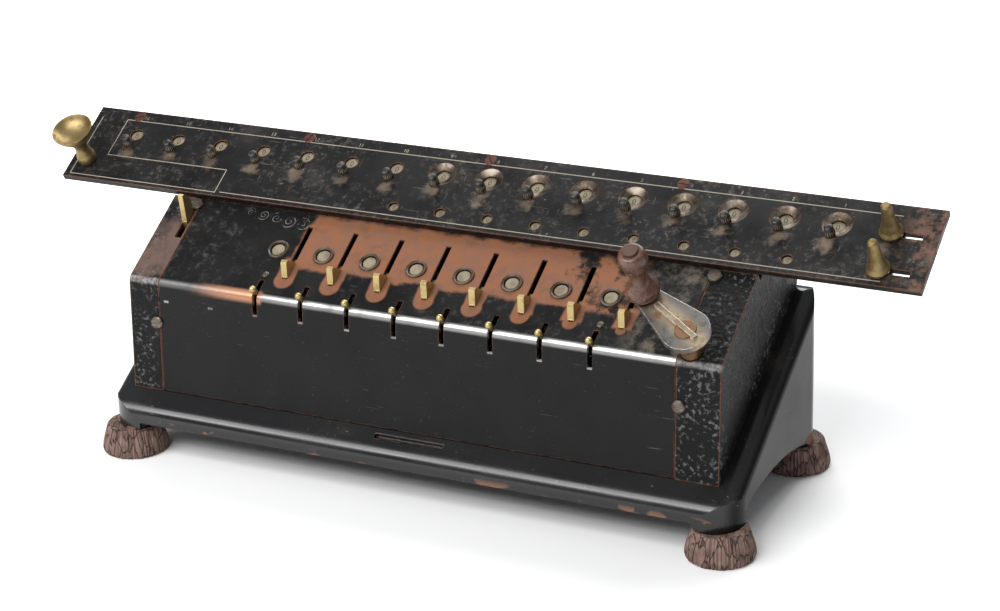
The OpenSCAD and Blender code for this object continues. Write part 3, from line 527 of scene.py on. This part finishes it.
def carriage_lacquer():
    """Black lacquer with engraved pale lines, dusty smears below the dials and copper edges."""
    finish, tree, shader, place = start_finish("carriage_lacquer")
    shader["Specular IOR Level"].default_value = 0.2
    slope = use_group(tree, slope_place, Place=place)
    worn = use_group(tree, edge_wear, Place=place, Radius=0.9 * MM, Amount=0.66)
    marks = use_group(tree, scratches, Slope=slope["Slope"], Amount=0.6)
    film = use_group(tree, dust, Place=place, Amount=0.5)
    dial_1 = centre_of("result_dial_1")
    ragged = noise(tree, place, 120, 5, 0.65)
    column = calc(tree, "PINGPONG", calc(tree, "SUBTRACT", slope["X"], dial_1.x), COLUMN_PITCH / 2)
    below = calc(tree, "SUBTRACT", slope["V"], dial_1.y - SMEAR_BELOW)
    spot = length_of(tree, column, below)
    smear = span(tree, calc(tree, "ADD", spot, share(tree, ragged, 24)), 18.5, 11)
    smear = both(tree, smear, span(tree, noise(tree, place, 24, 2), 0.3, 0.7, 0.15, 0.9))
    beside = calc(tree, "SUBTRACT", slope["X"], dial_1.x + WINDOW_BESIDE)
    dish_x = calc(tree, "PINGPONG", beside, COLUMN_PITCH / 2)
    dish_v = calc(tree, "SUBTRACT", slope["V"], dial_1.y + WINDOW_ABOVE)
    before_dishes = dial_1.x + (FIRST_DISHED - 1.5) * COLUMN_PITCH
    dish = both(
        tree,
        span(tree, length_of(tree, dish_x, dish_v), DISH_R + 0.4, DISH_R),
        span(tree, slope["N"], CARRIAGE_TOP - 0.03, CARRIAGE_TOP - 0.12),
        span(tree, slope["N"], 1.0, 1.3),
        span(tree, slope["X"], before_dishes, before_dishes + 0.05 * COLUMN_PITCH),
    )
    on_top = span(tree, slope["N"], 2.2, 3.2)

    def line(distance, width=0.32):
        return span(tree, calc(tree, "ABSOLUTE", distance), width, width * 0.6)

    def off_x(x):
        return calc(tree, "SUBTRACT", slope["X"], x)

    def off_v(v):
        return calc(tree, "SUBTRACT", slope["V"], v)

    def within(value, low, high):
        return both(tree, span(tree, value, low - 0.2, low + 0.2), span(tree, value, high + 0.2, high - 0.2))

    lines = either(
        tree,
        both(tree, line(off_v(FRAME_REAR)), within(slope["X"], FRAME_LEFT, FRAME_RIGHT)),
        both(tree, line(off_v(FRAME_FRONT)), within(slope["X"], PANEL_RIGHT + 3, FRAME_RIGHT)),
        both(tree, line(off_x(FRAME_LEFT)), within(slope["V"], PANEL_REAR, FRAME_REAR)),
        both(tree, line(off_v(PANEL_REAR)), within(slope["X"], FRAME_LEFT, PANEL_RIGHT)),
        both(tree, line(off_x(PANEL_RIGHT)), within(slope["V"], PANEL_FRONT - 0.5, PANEL_REAR)),
        both(tree, line(off_v(PANEL_FRONT)), within(slope["X"], PANEL_LEFT, PANEL_RIGHT)),
        both(tree, line(off_x(PANEL_LEFT)), within(slope["V"], PANEL_FRONT, FRAME_REAR)),
    )
    engraved = both(tree, lines, on_top, span(tree, ragged, 0.2, 0.45, 0.55, 1))
    scuffed = both(
        tree,
        span(tree, noise(tree, place, 260, 6, 0.75), 0.5, 0.66),
        span(tree, noise(tree, place, 26, 3), 0.35, 0.6),
        on_top,
    )
    colour = blend_colour(tree, share(tree, film["Cloud"], 0.24), BLACK, GRIME)
    colour = blend_colour(tree, share(tree, scuffed, 0.26), colour, (0.2, 0.175, 0.145, 1))
    colour = blend_colour(tree, share(tree, marks["Mask"], 0.4), colour, PALE_GREY)
    colour = blend_colour(tree, both(tree, smear, on_top), colour, (0.2, 0.15, 0.11, 1))
    colour = blend_colour(tree, share(tree, film["Specks"], 0.6), colour, (0.34, 0.31, 0.27, 1))
    right_end = span(tree, slope["X"], WORN_END_X, WORN_END_X + 16)
    rubbed = both(tree, right_end, span(tree, ragged, 0.42, 0.62), on_top)
    colour = blend_colour(tree, rubbed, colour, (0.14, 0.075, 0.05, 1))
    colour = blend_colour(tree, engraved, colour, (0.3, 0.26, 0.2, 1))
    colour = blend_colour(tree, worn["Worn"], colour, COPPER)
    dull = blend_colour(tree, span(tree, ragged, 0.36, 0.6), (0.2, 0.165, 0.13, 1), (0.06, 0.043, 0.032, 1))
    feed(tree, shader["Base Color"], blend_colour(tree, dish, colour, dull))
    feed(tree, shader["Metallic"], dish)
    satin = span(tree, noise(tree, place, 40, 4), 0.3, 0.7, 0.3, 0.5)
    feed(tree, shader["Roughness"], blend_value(tree, both(tree, smear, on_top), satin, 0.75))
    relief = calc(tree, "SUBTRACT", share(tree, ragged, 0.2), engraved)
    feed(tree, shader["Normal"], bump(tree, relief, 0.3, 0.3, worn["Normal"]))
    return finish


def metal(name, clean, stain, low, high, stain_from=0.45):
    """Bare metal with patchy stain and soft edges."""
    finish, tree, shader, place = start_finish(name)
    worn = use_group(tree, edge_wear, Place=place, Radius=0.3 * MM, Amount=0.9)
    patches = noise(tree, place, 150, 5, 0.65)
    stained = span(tree, patches, stain_from, stain_from + 0.25)
    stained = both(tree, stained, calc(tree, "SUBTRACT", 1.0, share(tree, worn["Worn"], 0.7)))
    feed(tree, shader["Base Color"], blend_colour(tree, stained, clean, stain))
    shader["Metallic"].default_value = 1.0
    grain = noise(tree, place, 900, 3, 0.6)
    feed(tree, shader["Roughness"], span(tree, calc(tree, "ADD", grain, stained), 0.3, 1.5, low, high))
    feed(tree, shader["Normal"], bump(tree, grain, 0.1, 0.1, worn["Normal"]))
    return finish


def crank_plate():
    """Steel crank arm: warm stains along its middle, grey flanks and a brown pin head in the handle."""
    finish, tree, shader, place = start_finish("crank_plate")
    slope = use_group(tree, slope_place, Place=place)
    worn = use_group(tree, edge_wear, Place=place, Radius=0.6 * MM, Amount=0.9)
    axle, grip = centre_of("crank_shaft"), centre_of("crank_handle")
    turn = math.atan2(grip.y - axle.y, grip.x - axle.x)
    dx = calc(tree, "SUBTRACT", slope["X"], axle.x)
    dv = calc(tree, "SUBTRACT", slope["V"], axle.y)
    off = calc(tree, "SUBTRACT", share(tree, dv, math.cos(turn)), share(tree, dx, math.sin(turn)))
    patches = noise(tree, place, 170, 5, 0.65)
    middle = span(tree, calc(tree, "ADD", calc(tree, "ABSOLUTE", off), share(tree, patches, 8)), 12.5, 6)
    colour = blend_colour(tree, middle, (0.19, 0.185, 0.175, 1), (0.42, 0.335, 0.235, 1))
    colour = blend_colour(tree, span(tree, patches, 0.52, 0.7), colour, (0.22, 0.13, 0.075, 1))
    colour = blend_colour(tree, share(tree, worn["Worn"], 0.8), colour, (0.55, 0.54, 0.52, 1))
    in_handle = span(tree, slope["N"], grip.z, grip.z + 4)
    feed(tree, shader["Base Color"], blend_colour(tree, in_handle, colour, (0.07, 0.03, 0.02, 1)))
    feed(tree, shader["Metallic"], calc(tree, "SUBTRACT", 1.0, in_handle))
    feed(tree, shader["Roughness"], span(tree, patches, 0.3, 0.7, 0.32, 0.55))
    feed(tree, shader["Normal"], bump(tree, patches, 0.15, 0.2, worn["Normal"]))
    return finish


def handle_wood():
    """Dark polished wood, grain along the handle, worn pale in patches."""
    finish, tree, shader, place = start_finish("handle_wood")
    slope = use_group(tree, slope_place, Place=place)
    grain = noise(tree, slope["Slope"], 0.9, 6, 0.6, (1.6, 1.6, 0.16))
    rubbed = noise(tree, place, 110, 4, 0.6)
    colour = blend_colour(tree, span(tree, grain, 0.3, 0.7), (0.05, 0.02, 0.012, 1), (0.13, 0.06, 0.038, 1))
    pale = span(tree, rubbed, 0.5, 0.7, 0.0, 0.4)
    colour = blend_colour(tree, pale, colour, (0.2, 0.115, 0.08, 1))
    feed(tree, shader["Base Color"], colour)
    feed(tree, shader["Roughness"], span(tree, rubbed, 0.3, 0.7, 0.16, 0.36))
    feed(tree, shader["Normal"], bump(tree, grain, 0.2, 0.2))
    return finish


def foot_rubber():
    """Old brown rubber, cracked from top to bottom."""
    finish, tree, shader, place = start_finish("foot_rubber")
    cracks = cells(tree, place, 300, "DISTANCE_TO_EDGE", (1, 1, 0.24))
    split = span(tree, cracks, 0.07, 0.0)
    mottled = noise(tree, place, 130, 5, 0.65)
    pale = span(tree, mottled, 0.3, 0.7)
    colour = blend_colour(tree, pale, (0.105, 0.055, 0.042, 1), (0.25, 0.16, 0.13, 1))
    feed(tree, shader["Base Color"], blend_colour(tree, split, colour, (0.04, 0.022, 0.017, 1)))
    feed(tree, shader["Roughness"], span(tree, mottled, 0.3, 0.7, 0.65, 0.9))
    relief = calc(tree, "SUBTRACT", mottled, split)
    feed(tree, shader["Normal"], bump(tree, relief, 0.8, 1.2))
    return finish


def dial_white():
    """Cream celluloid with brown specks."""
    finish, tree, shader, place = start_finish("dial_white")
    aged = noise(tree, place, 190, 4, 0.6)
    colour = blend_colour(tree, span(tree, aged, 0.35, 0.75), (0.25, 0.215, 0.145, 1), (0.13, 0.1, 0.06, 1))
    feed(tree, shader["Base Color"], colour)
    feed(tree, shader["Roughness"], span(tree, aged, 0.3, 0.7, 0.28, 0.5))
    return finish


def pale_engraving():
    """Cut marks filled with pale paint and dirt."""
    finish, tree, shader, place = start_finish("pale_engraving")
    dirt = noise(tree, place, 300, 4, 0.6)
    colour = blend_colour(tree, span(tree, dirt, 0.35, 0.65), (0.36, 0.32, 0.25, 1), (0.1, 0.085, 0.07, 1))
    feed(tree, shader["Base Color"], colour)
    feed(tree, shader["Roughness"], span(tree, dirt, 0.3, 0.7, 0.6, 0.8))
    return finish


def black_horn():
    """Dark horn with a dull polish and patches of dirt."""
    finish, tree, shader, place = start_finish("black_horn")
    mottled = noise(tree, place, 330, 4, 0.6)
    dirt = span(tree, mottled, 0.45, 0.75)
    colour = blend_colour(tree, dirt, (0.012, 0.011, 0.01, 1), (0.1, 0.075, 0.05, 1))
    feed(tree, shader["Base Color"], colour)
    feed(tree, shader["Roughness"], span(tree, mottled, 0.3, 0.7, 0.3, 0.55))
    return finish


# Metals: clean colour, stain, roughness where clean and where stained, and where stain begins
METALS = {
    "screw_steel": ((0.17, 0.145, 0.12, 1), (0.07, 0.048, 0.036, 1), 0.35, 0.6),
    "frame_steel": ((0.36, 0.36, 0.36, 1), (0.16, 0.13, 0.1, 1), 0.35, 0.6),
    "shaft_steel": ((0.3, 0.29, 0.28, 1), (0.12, 0.1, 0.08, 1), 0.28, 0.5),
    "brown_steel": ((0.27, 0.16, 0.09, 1), (0.13, 0.07, 0.04, 1), 0.42, 0.65),
    "rusty_screw": ((0.13, 0.06, 0.045, 1), (0.06, 0.028, 0.02, 1), 0.45, 0.7),
    "window_steel": ((0.13, 0.115, 0.1, 1), (0.06, 0.045, 0.035, 1), 0.4, 0.62, 0.4),
    "lever_brass": ((0.52, 0.41, 0.19, 1), (0.3, 0.21, 0.085, 1), 0.42, 0.6, 0.5),
    "drum_brass": ((0.52, 0.38, 0.17, 1), (0.22, 0.14, 0.06, 1), 0.3, 0.55),
    "dull_brass": ((0.3, 0.225, 0.105, 1), (0.18, 0.12, 0.052, 1), 0.45, 0.65),
}

FINISHES = {name: metal(name, *look) for name, look in METALS.items()}
FINISHES["base_enamel"] = base_enamel()
FINISHES["foot_rubber"] = foot_rubber()
FINISHES["crackle_paint"] = crackle_paint()
FINISHES["plate_lacquer"] = plate_lacquer()
FINISHES["carriage_lacquer"] = carriage_lacquer()
FINISHES["crank_steel"] = crank_plate()
FINISHES["handle_wood"] = handle_wood()
FINISHES["dial_white"] = dial_white()
FINISHES["pale_engraving"] = pale_engraving()
FINISHES["black_horn"] = black_horn()

# Nodes whose finish isn't the one of their slot
NODE_FINISH = {
    "crank_shaft": "brown_steel",
    "carriage_knob": "dull_brass",
    "clear_slide_result": "dull_brass",
    "clear_slide_counter": "dull_brass",
}

slot_of_node = {entry["node"]: entry["material_slot"] for entry in frame["record"]["subparts"]}


def wear(piece, slot, finish=None):
    """Gives a piece one finish: the one named, else the one of its material slot."""
    piece.data.materials.clear()
    piece.data.materials.append(FINISHES[finish or slot])


for name, node in nodes.items():
    node.data.materials.clear()
    node.data.materials.append(FINISHES[NODE_FINISH.get(name, slot_of_node[name])])


# Modelling helpers


def pick(piece):
    """Makes a piece the only one chosen."""
    bpy.ops.object.select_all(action="DESELECT")
    bpy.context.view_layer.objects.active = piece
    piece.select_set(True)


def turned(name, rings, sides, hollow=False):
    """Turned piece on the z axis: a disc drawn up ring by ring; rings are (radius, height) in millimetres."""
    bpy.ops.object.select_all(action="DESELECT")
    radius, height = rings[0]
    start = (0, 0, height * MM)
    bpy.ops.mesh.primitive_circle_add(vertices=sides, radius=radius * MM, fill_type="NGON", location=start)
    piece = bpy.context.object
    piece.name = name
    bpy.ops.object.transform_apply(location=True)
    bpy.ops.object.mode_set(mode="EDIT")
    bpy.ops.mesh.select_all(action="SELECT")
    for next_radius, next_height in rings[1:]:
        rise = (next_height - height) * MM
        bpy.ops.mesh.extrude_region_move(TRANSFORM_OT_translate={"value": (0, 0, rise)})
        growth = next_radius / radius
        bpy.ops.transform.resize(value=(growth, growth, 1))
        radius, height = next_radius, next_height
    bpy.ops.object.mode_set(mode="OBJECT")
    if hollow:
        open_ends(piece)
    edit_all(piece, lambda: bpy.ops.mesh.normals_make_consistent(inside=False))
    return piece


def edit_all(piece, action):
    """Runs one edit-mode operator on the whole mesh."""
    pick(piece)
    bpy.ops.object.mode_set(mode="EDIT")
    bpy.ops.mesh.select_all(action="SELECT")
    action()
    bpy.ops.object.mode_set(mode="OBJECT")


def choose(piece, kind, test):
    """Selects the vertices or faces whose middle, in millimetres, passes the test; leaves edit mode open."""
    pick(piece)
    bpy.ops.object.mode_set(mode="EDIT")
    bpy.ops.mesh.select_mode(type="VERT" if kind == "vertices" else "FACE")
    bpy.ops.mesh.select_all(action="DESELECT")
    bpy.ops.object.mode_set(mode="OBJECT")
    for part in getattr(piece.data, kind):
        middle = part.co if kind == "vertices" else part.center
        part.select = bool(test(middle / MM, part))
    bpy.ops.object.mode_set(mode="EDIT")


def open_ends(piece):
    """Takes the end discs off a turned ring and joins its two rims."""
    choose(piece, "polygons", lambda middle, face: len(face.vertices) > 4)
    bpy.ops.mesh.delete(type="ONLY_FACE")
    bpy.ops.mesh.select_mode(type="EDGE")
    bpy.ops.mesh.select_all(action="DESELECT")
    bpy.ops.mesh.select_non_manifold()
    bpy.ops.mesh.bridge_edge_loops()
    bpy.ops.object.mode_set(mode="OBJECT")


def column_of(middle, sides):
    """Number of the turned piece's side at which a vertex lies."""
    return round(math.atan2(middle.y, middle.x) / (2 * math.pi) * sides) % sides


def draw_in(piece, growth, test):
    """Draws the vertices that pass the test towards the piece's axis."""
    choose(piece, "vertices", test)
    bpy.ops.transform.resize(value=(growth, growth, 1), center_override=(0, 0, 0))
    bpy.ops.object.mode_set(mode="OBJECT")


def settle(piece, x, v, n, spin=0.0):
    """Puts a piece made on the z axis on the slope, its place in its mesh."""
    place = SLOPE @ Matrix.Translation(Vector((x, v, n)) * MM) @ Matrix.Rotation(spin, 4, "Z")
    piece.data.transform(place)
    return piece


def copy_of(piece, name):
    made = piece.copy()
    made.data = piece.data.copy()
    made.name = name
    scene.collection.objects.link(made)
    return made


def join(name, pieces):
    bpy.ops.object.select_all(action="DESELECT")
    for piece in pieces:
        piece.select_set(True)
    bpy.context.view_layer.objects.active = pieces[0]
    bpy.ops.object.join()
    pieces[0].name = name
    return pieces[0]


def smooth(piece, degrees=35, rounds=0):
    """Smooth shading, after rounds of applied subdivision."""
    pick(piece)
    if rounds:
        soft = piece.modifiers.new("round", "SUBSURF")
        soft.levels = soft.render_levels = rounds
        bpy.ops.object.modifier_apply(modifier=soft.name)
    bpy.ops.object.shade_smooth_by_angle(angle=math.radians(degrees))
    return piece


def done(piece, body, slot, *stands_for, finish=None):
    """Gives a piece its finish and its body, and hides the nodes that it stands for."""
    wear(piece, slot, finish)
    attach(piece, body)
    if stands_for:
        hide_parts(*stands_for)


# Pieces

HANDLE_L = 33

# Feet: reach of a cup, and how far and from which radius its creases are drawn in
FOOT_R = 18.5
CREASE_IN = 0.962
CREASES_BEYOND = 14.1

# Windows: check windows on the plate, counter windows left of the dials, tops of the faces in them
WINDOW_V = 32.7
COUNTER_BESIDE = 17.1
COUNTER_V = 69.2
FLAT_FACE_N = 2.9
SUNK_FACE_N = 1.35
COUNTER_FACE_N = 2.85

# Print: noughts on the faces and place numbers behind the dials
PRINT_ABOVE = 0.01
DIAL_NOUGHT = 4.6
DIAL_NOUGHT_DROP = 1.6
COUNTER_NOUGHT = 3.4
COUNTER_NOUGHT_DROP = 1.2
NUMBER_SIZE = 3.2
NUMBER_SHIFT = 2.3
NUMBER_V = 107.3

# Rivets of the plate and screws of the carriage
RIVET_BESIDE = 12
RIVET_V = 15
SCREWS = 4
SCREW_R = 3.5
SCREW_H = 0.5
SCREW_SLOT = 0.7
SCREW_X = -225.2
SCREW_PITCH = 112
SCREW_V = 109

# Twirl grips: how far and over which height their flutes are drawn in
FLUTE_IN = 0.88
FLUTE_LOW = -5.9
FLUTE_HIGH = -2.6


def crank_handle():
    """Turned spool: flange, waist and barrel knob."""
    middle = centre_of("crank_handle")
    foot = middle.z - HANDLE_L / 2
    spool = turned(
        "turned_handle",
        [(6.4, 0), (8.5, 0.7), (9.2, 3.0), (8.4, 6.2), (6.0, 8.6), (4.9, 11.5), (4.6, 15), (5.0, 18.5),
         (6.4, 21.5), (7.5, 24.5), (7.7, 27.5), (7.2, 30.6), (6.2, 32.4), (4.6, 32.7), (3.4, 32.4)],
        32,
    )
    smooth(settle(spool, middle.x, middle.y, foot), 60, 2)
    done(spool, "handle", "handle_wood", "crank_handle")


def dished_knob():
    """Brass knob of the carriage: foot, neck and a smooth open dish."""
    low, high = slope_box("carriage_knob")
    knob = turned(
        "dished_knob",
        [(4.6, 0), (5.5, 0.5), (5.5, 4.4), (4.9, 5.4), (4.4, 8), (3.7, 10.4), (3.9, 13.4), (5.6, 16.6),
         (8.4, 19.6), (10.9, 22.6), (11.9, 25), (11.8, 25.9), (11.2, 25.8), (9.6, 23.6), (6.6, 21.6),
         (3.2, 20.7), (0.8, 20.5)],
        40,
    )
    settle(knob, (low.x + high.x) / 2, (low.y + high.y) / 2, low.z)
    done(smooth(knob, 60, 2), "carriage", "lever_brass", "carriage_knob", finish="dull_brass")


def cracked_feet():
    """Flared rubber cups with creased sides."""
    low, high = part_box("rubber_feet")
    sides = 120
    cup = turned(
        "cracked_feet",
        [(9.5, 0.6), (15.5, 0.0), (17.8, 0.4), (18.4, 2.2), (18.0, 5.0), (17.0, 8.6), (15.9, 12), (15.0, 15),
         (14.2, 15.9), (12.9, 16.0), (11.0, 15.6), (9.0, 15.2)],
        sides,
    )

    def creased(middle, vertex):
        column = column_of(middle, sides)
        return (column * column * 7 + column * 3) % 11 < 3 and math.hypot(middle.x, middle.y) > CREASES_BEYOND

    draw_in(cup, CREASE_IN, creased)
    corners = [
        (x, y)
        for x in (low.x / MM + FOOT_R, high.x / MM - FOOT_R)
        for y in (low.y / MM + FOOT_R, high.y / MM - FOOT_R)
    ]
    cups = [cup] + [copy_of(cup, "cracked_foot") for _ in corners[1:]]
    for k, (x, y) in enumerate(corners):
        cups[k].data.transform(Matrix.Translation(Vector((x, y, 0)) * MM) @ Matrix.Rotation(1.3 * k, 4, "Z"))
    feet = smooth(join("cracked_feet", cups), 40)
    done(feet, "frame", "foot_rubber", "rubber_feet")


def check_windows():
    """Dull rings and sunk cream faces of the check windows."""
    ring = turned(
        "check_rings",
        [(6.0, 0.0), (6.0, 0.5), (5.7, 0.9), (5.3, 0.9), (4.9, 0.5), (4.5, 0.2), (4.45, -1.6)],
        40,
        hollow=True,
    )
    face = turned(
        "check_faces",
        [(4.3, -2.3), (4.3, -1.6), (3.9, -1.5), (3.7, -0.2), (3.4, 0.1), (1.4, 0.2)],
        32,
    )
    rings, faces = [], []
    for k in range(LEVERS):
        x = centre_of(f"marker_lever_{k + 1}").x
        rings.append(settle(copy_of(ring, "ring"), x, WINDOW_V, 0.0))
        faces.append(settle(copy_of(face, "face"), x, WINDOW_V, 0.0))
    for piece in (ring, face):
        bpy.data.objects.remove(piece)
    done(smooth(join("check_rings", rings)), "frame", "shaft_steel", finish="window_steel")
    done(smooth(join("check_faces", faces)), "frame", "dial_white")


def plain_number(text, size, x, v, n):
    """One number lying on the slope, as a thin flat mesh."""
    bpy.ops.object.select_all(action="DESELECT")
    bpy.ops.object.text_add()
    mark = bpy.context.object
    mark.data.body = text
    mark.data.size = size * MM
    mark.data.align_x = "CENTER"
    mark.data.extrude = 0.03 * MM
    bpy.ops.object.convert(target="MESH")
    return settle(bpy.context.object, x, v, n)


def dial_faces():
    """Cream faces that show in the dial windows and the counter windows, with a plain nought on each."""
    flat = turned("flat_face", [(3.8, 1.6), (3.8, 2.6), (3.4, 2.85), (1.2, FLAT_FACE_N)], 32)
    sunk = turned("sunk_face", [(3.8, 0.6), (3.8, 1.1), (3.4, 1.3), (1.2, SUNK_FACE_N)], 32)
    small = turned("small_face", [(2.8, 1.6), (2.8, 2.5), (2.4, 2.8), (1.0, COUNTER_FACE_N)], 28)
    faces, noughts = [], []
    for k in range(1, DIALS + 1):
        axle = centre_of(f"result_dial_{k}")
        x, v = axle.x + WINDOW_BESIDE, axle.y + WINDOW_ABOVE
        shape, top = (sunk, SUNK_FACE_N) if k >= FIRST_DISHED else (flat, FLAT_FACE_N)
        faces.append(settle(copy_of(shape, "face"), x, v, 0.0))
        noughts.append(plain_number("0", DIAL_NOUGHT, x, v - DIAL_NOUGHT_DROP, top + PRINT_ABOVE))
    for k in range(COUNTERS):
        x = centre_of(f"result_dial_{DIALS - COUNTERS + 1 + k}").x - COUNTER_BESIDE
        v = COUNTER_V - COUNTER_NOUGHT_DROP
        faces.append(settle(copy_of(small, "face"), x, COUNTER_V, 0.0))
        noughts.append(plain_number("0", COUNTER_NOUGHT, x, v, COUNTER_FACE_N + PRINT_ABOVE))
    for piece in (flat, sunk, small):
        bpy.data.objects.remove(piece)
    done(smooth(join("dial_faces", faces)), "carriage", "dial_white")
    done(join("dial_noughts", noughts), "carriage", "dial_white", finish="black_horn")


def slotted_disc(name, radius, height, slot):
    """Flat screw head with a cut slot."""
    head = turned(name, [(radius, 0), (radius, height * 0.6), (radius - 0.3, height)], 28)
    for side in (-1, 1):
        edit_all(head, lambda: bpy.ops.mesh.bisect(plane_co=(0, side * slot * MM / 2, 0), plane_no=(0, 1, 0)))

    def in_slot(middle, face):
        return abs(middle.y) < slot / 2 and face.normal.z > 0.9 and middle.z > height * 0.9

    choose(head, "polygons", in_slot)
    bpy.ops.mesh.extrude_region_move(TRANSFORM_OT_translate={"value": (0, 0, -height * 0.7 * MM)})
    bpy.ops.object.mode_set(mode="OBJECT")
    return head


def plate_rivets():
    """Two small rivets beside the first and last slots of the plate."""
    first = centre_of("setting_lever_1").x
    rivets = []
    for x in (first - RIVET_BESIDE, first + (LEVERS - 1) * COLUMN_PITCH - RIVET_BESIDE):
        rivet = turned("plate_rivet", [(1.9, -0.2), (1.9, 0.25), (1.6, 0.5), (1.1, 0.6), (0.5, 0.62)], 24)
        rivets.append(settle(rivet, x, RIVET_V, 0.0))
    done(smooth(join("plate_rivets", rivets)), "frame", "screw_steel", finish="window_steel")


def carriage_screws():
    """Four flush screws behind the dials, gone red with rust."""
    heads = []
    for k in range(SCREWS):
        head = slotted_disc("carriage_screw", SCREW_R, SCREW_H, SCREW_SLOT)
        heads.append(settle(head, SCREW_X + k * SCREW_PITCH, SCREW_V, CARRIAGE_TOP - 0.3, 0.4 + 0.9 * k))
    done(smooth(join("carriage_screws", heads), 30), "carriage", "screw_steel", finish="rusty_screw")


def twirl_grips():
    """Fluted dark grips over the dials' setting pegs."""
    sides = 28
    grip = turned(
        "twirl_grip",
        [(2.4, -6.2), (2.9, -6.0), (3.0, -5.2), (2.9, -2.9), (2.2, -2.2), (2.0, -1.7), (2.5, -1.0),
         (2.3, -0.3), (1.5, 0.06), (0.5, 0.08)],
        sides,
    )

    def flute(middle, vertex):
        return column_of(middle, sides) % 2 and FLUTE_LOW < middle.z < FLUTE_HIGH

    draw_in(grip, FLUTE_IN, flute)
    smooth(grip, 50)
    for k in range(1, DIALS + 1):
        low, high = slope_box(f"result_dial_{k}")
        made = settle(copy_of(grip, f"twirl_grip_{k}"), (low.x + high.x) / 2, (low.y + high.y) / 2, high.z)
        done(made, f"dial_{k}", "dial_white", finish="black_horn")
    bpy.data.objects.remove(grip)


def carriage_numbers():
    """Small plain place numbers behind the dials, counted from the right."""
    marks = []
    for k in range(1, DIALS + 1):
        x = centre_of(f"result_dial_{k}").x
        marks.append(plain_number(str(DIALS + 1 - k), NUMBER_SIZE, x + NUMBER_SHIFT, NUMBER_V, CARRIAGE_TOP))
    done(join("carriage_numbers", marks), "carriage", "carriage_lacquer", finish="pale_engraving")


crank_handle()
dished_knob()
cracked_feet()
check_windows()
dial_faces()
plate_rivets()
carriage_screws()
twirl_grips()
carriage_numbers()


# Floor, light and camera

CAMERA_PLACE = Vector((589.97, -1150.0, 612.6)) * MM
CAMERA_YAW = math.radians(26.30)
CAMERA_PITCH = math.radians(22.06)
CAMERA_ROLL = math.radians(-2.04)
CAMERA_LENS = 93.41
CAMERA_SENSOR = 36


def make_floor():
    """Pale floor that glows to white away from the object, for the camera only."""
    bpy.ops.object.select_all(action="DESELECT")
    bpy.ops.mesh.primitive_plane_add(size=14)
    floor = bpy.context.object
    floor.name = "studio_floor"
    finish, tree, shader, place = start_finish("pale_floor")
    shade = noise(tree, place, 3, 2)
    feed(tree, shader["Base Color"], blend_colour(tree, shade, (0.9, 0.9, 0.9, 1), (0.92, 0.92, 0.92, 1)))
    shader["Roughness"].default_value = 0.9
    shader["Specular IOR Level"].default_value = 0.0
    away = put(tree, "ShaderNodeVectorMath", operation="LENGTH")
    feed(tree, away.inputs[0], vector_calc(tree, "MULTIPLY", place, (1.0, 1.4, 0.0)))
    seen = put(tree, "ShaderNodeLightPath").outputs["Is Camera Ray"]
    shader["Emission Color"].default_value = (1, 1, 1, 1)
    feed(tree, shader["Emission Strength"], both(tree, seen, span(tree, away.outputs["Value"], 0.22, 0.75)))
    floor.data.materials.append(finish)


def make_world():
    """White where the camera looks past the floor, dimmer studio walls for the light on the object."""
    world = bpy.data.worlds.new("studio_world")
    scene.world = world
    world.use_nodes = True
    tree = world.node_tree
    background = next(n for n in tree.nodes if n.type == "BACKGROUND")
    path = put(tree, "ShaderNodeLightPath").outputs
    shown = either(tree, path["Is Camera Ray"], path["Is Transmission Ray"])
    feed(tree, background.inputs["Color"], blend_colour(tree, shown, (0.3, 0.305, 0.315, 1), (1, 1, 1, 1)))
    background.inputs["Strength"].default_value = 1.0


def add_softbox(name, place, target, size, power):
    light = bpy.data.lights.new(name, "AREA")
    light.shape = "RECTANGLE"
    light.size, light.size_y = size
    light.energy = power
    lamp = bpy.data.objects.new(name, light)
    scene.collection.objects.link(lamp)
    lamp.location = place
    lamp.rotation_euler = (Vector(target) - Vector(place)).to_track_quat("-Z", "Y").to_euler()


def add_camera():
    forward = Vector(
        (
            -math.sin(CAMERA_YAW) * math.cos(CAMERA_PITCH),
            math.cos(CAMERA_YAW) * math.cos(CAMERA_PITCH),
            -math.sin(CAMERA_PITCH),
        )
    )
    level = Vector((math.cos(CAMERA_YAW), math.sin(CAMERA_YAW), 0))
    upright = level.cross(forward)
    right = level * math.cos(CAMERA_ROLL) + upright * math.sin(CAMERA_ROLL)
    up = upright * math.cos(CAMERA_ROLL) - level * math.sin(CAMERA_ROLL)
    camera = bpy.data.objects.new("photo_camera", bpy.data.cameras.new("photo_camera"))
    scene.collection.objects.link(camera)
    camera.data.lens = CAMERA_LENS
    camera.data.sensor_width = CAMERA_SENSOR
    turn = Matrix((right, up, -forward)).transposed().to_4x4()
    camera.matrix_world = Matrix.Translation(CAMERA_PLACE) @ turn
    scene.camera = camera


make_floor()
make_world()
add_softbox("overhead_softbox", (-0.15, 1.15, 1.6), (0, 0, 0.1), (2.0, 0.9), 36)
add_softbox("strip_softbox", (-0.65, -0.95, 1.2), (-0.65, -0.05, 0.08), (1.9, 0.7), 22)
add_softbox("front_strip", (-0.65, -1.35, 1.0), (-0.65, -0.1, 0.05), (1.9, 0.3), 15)
add_camera()
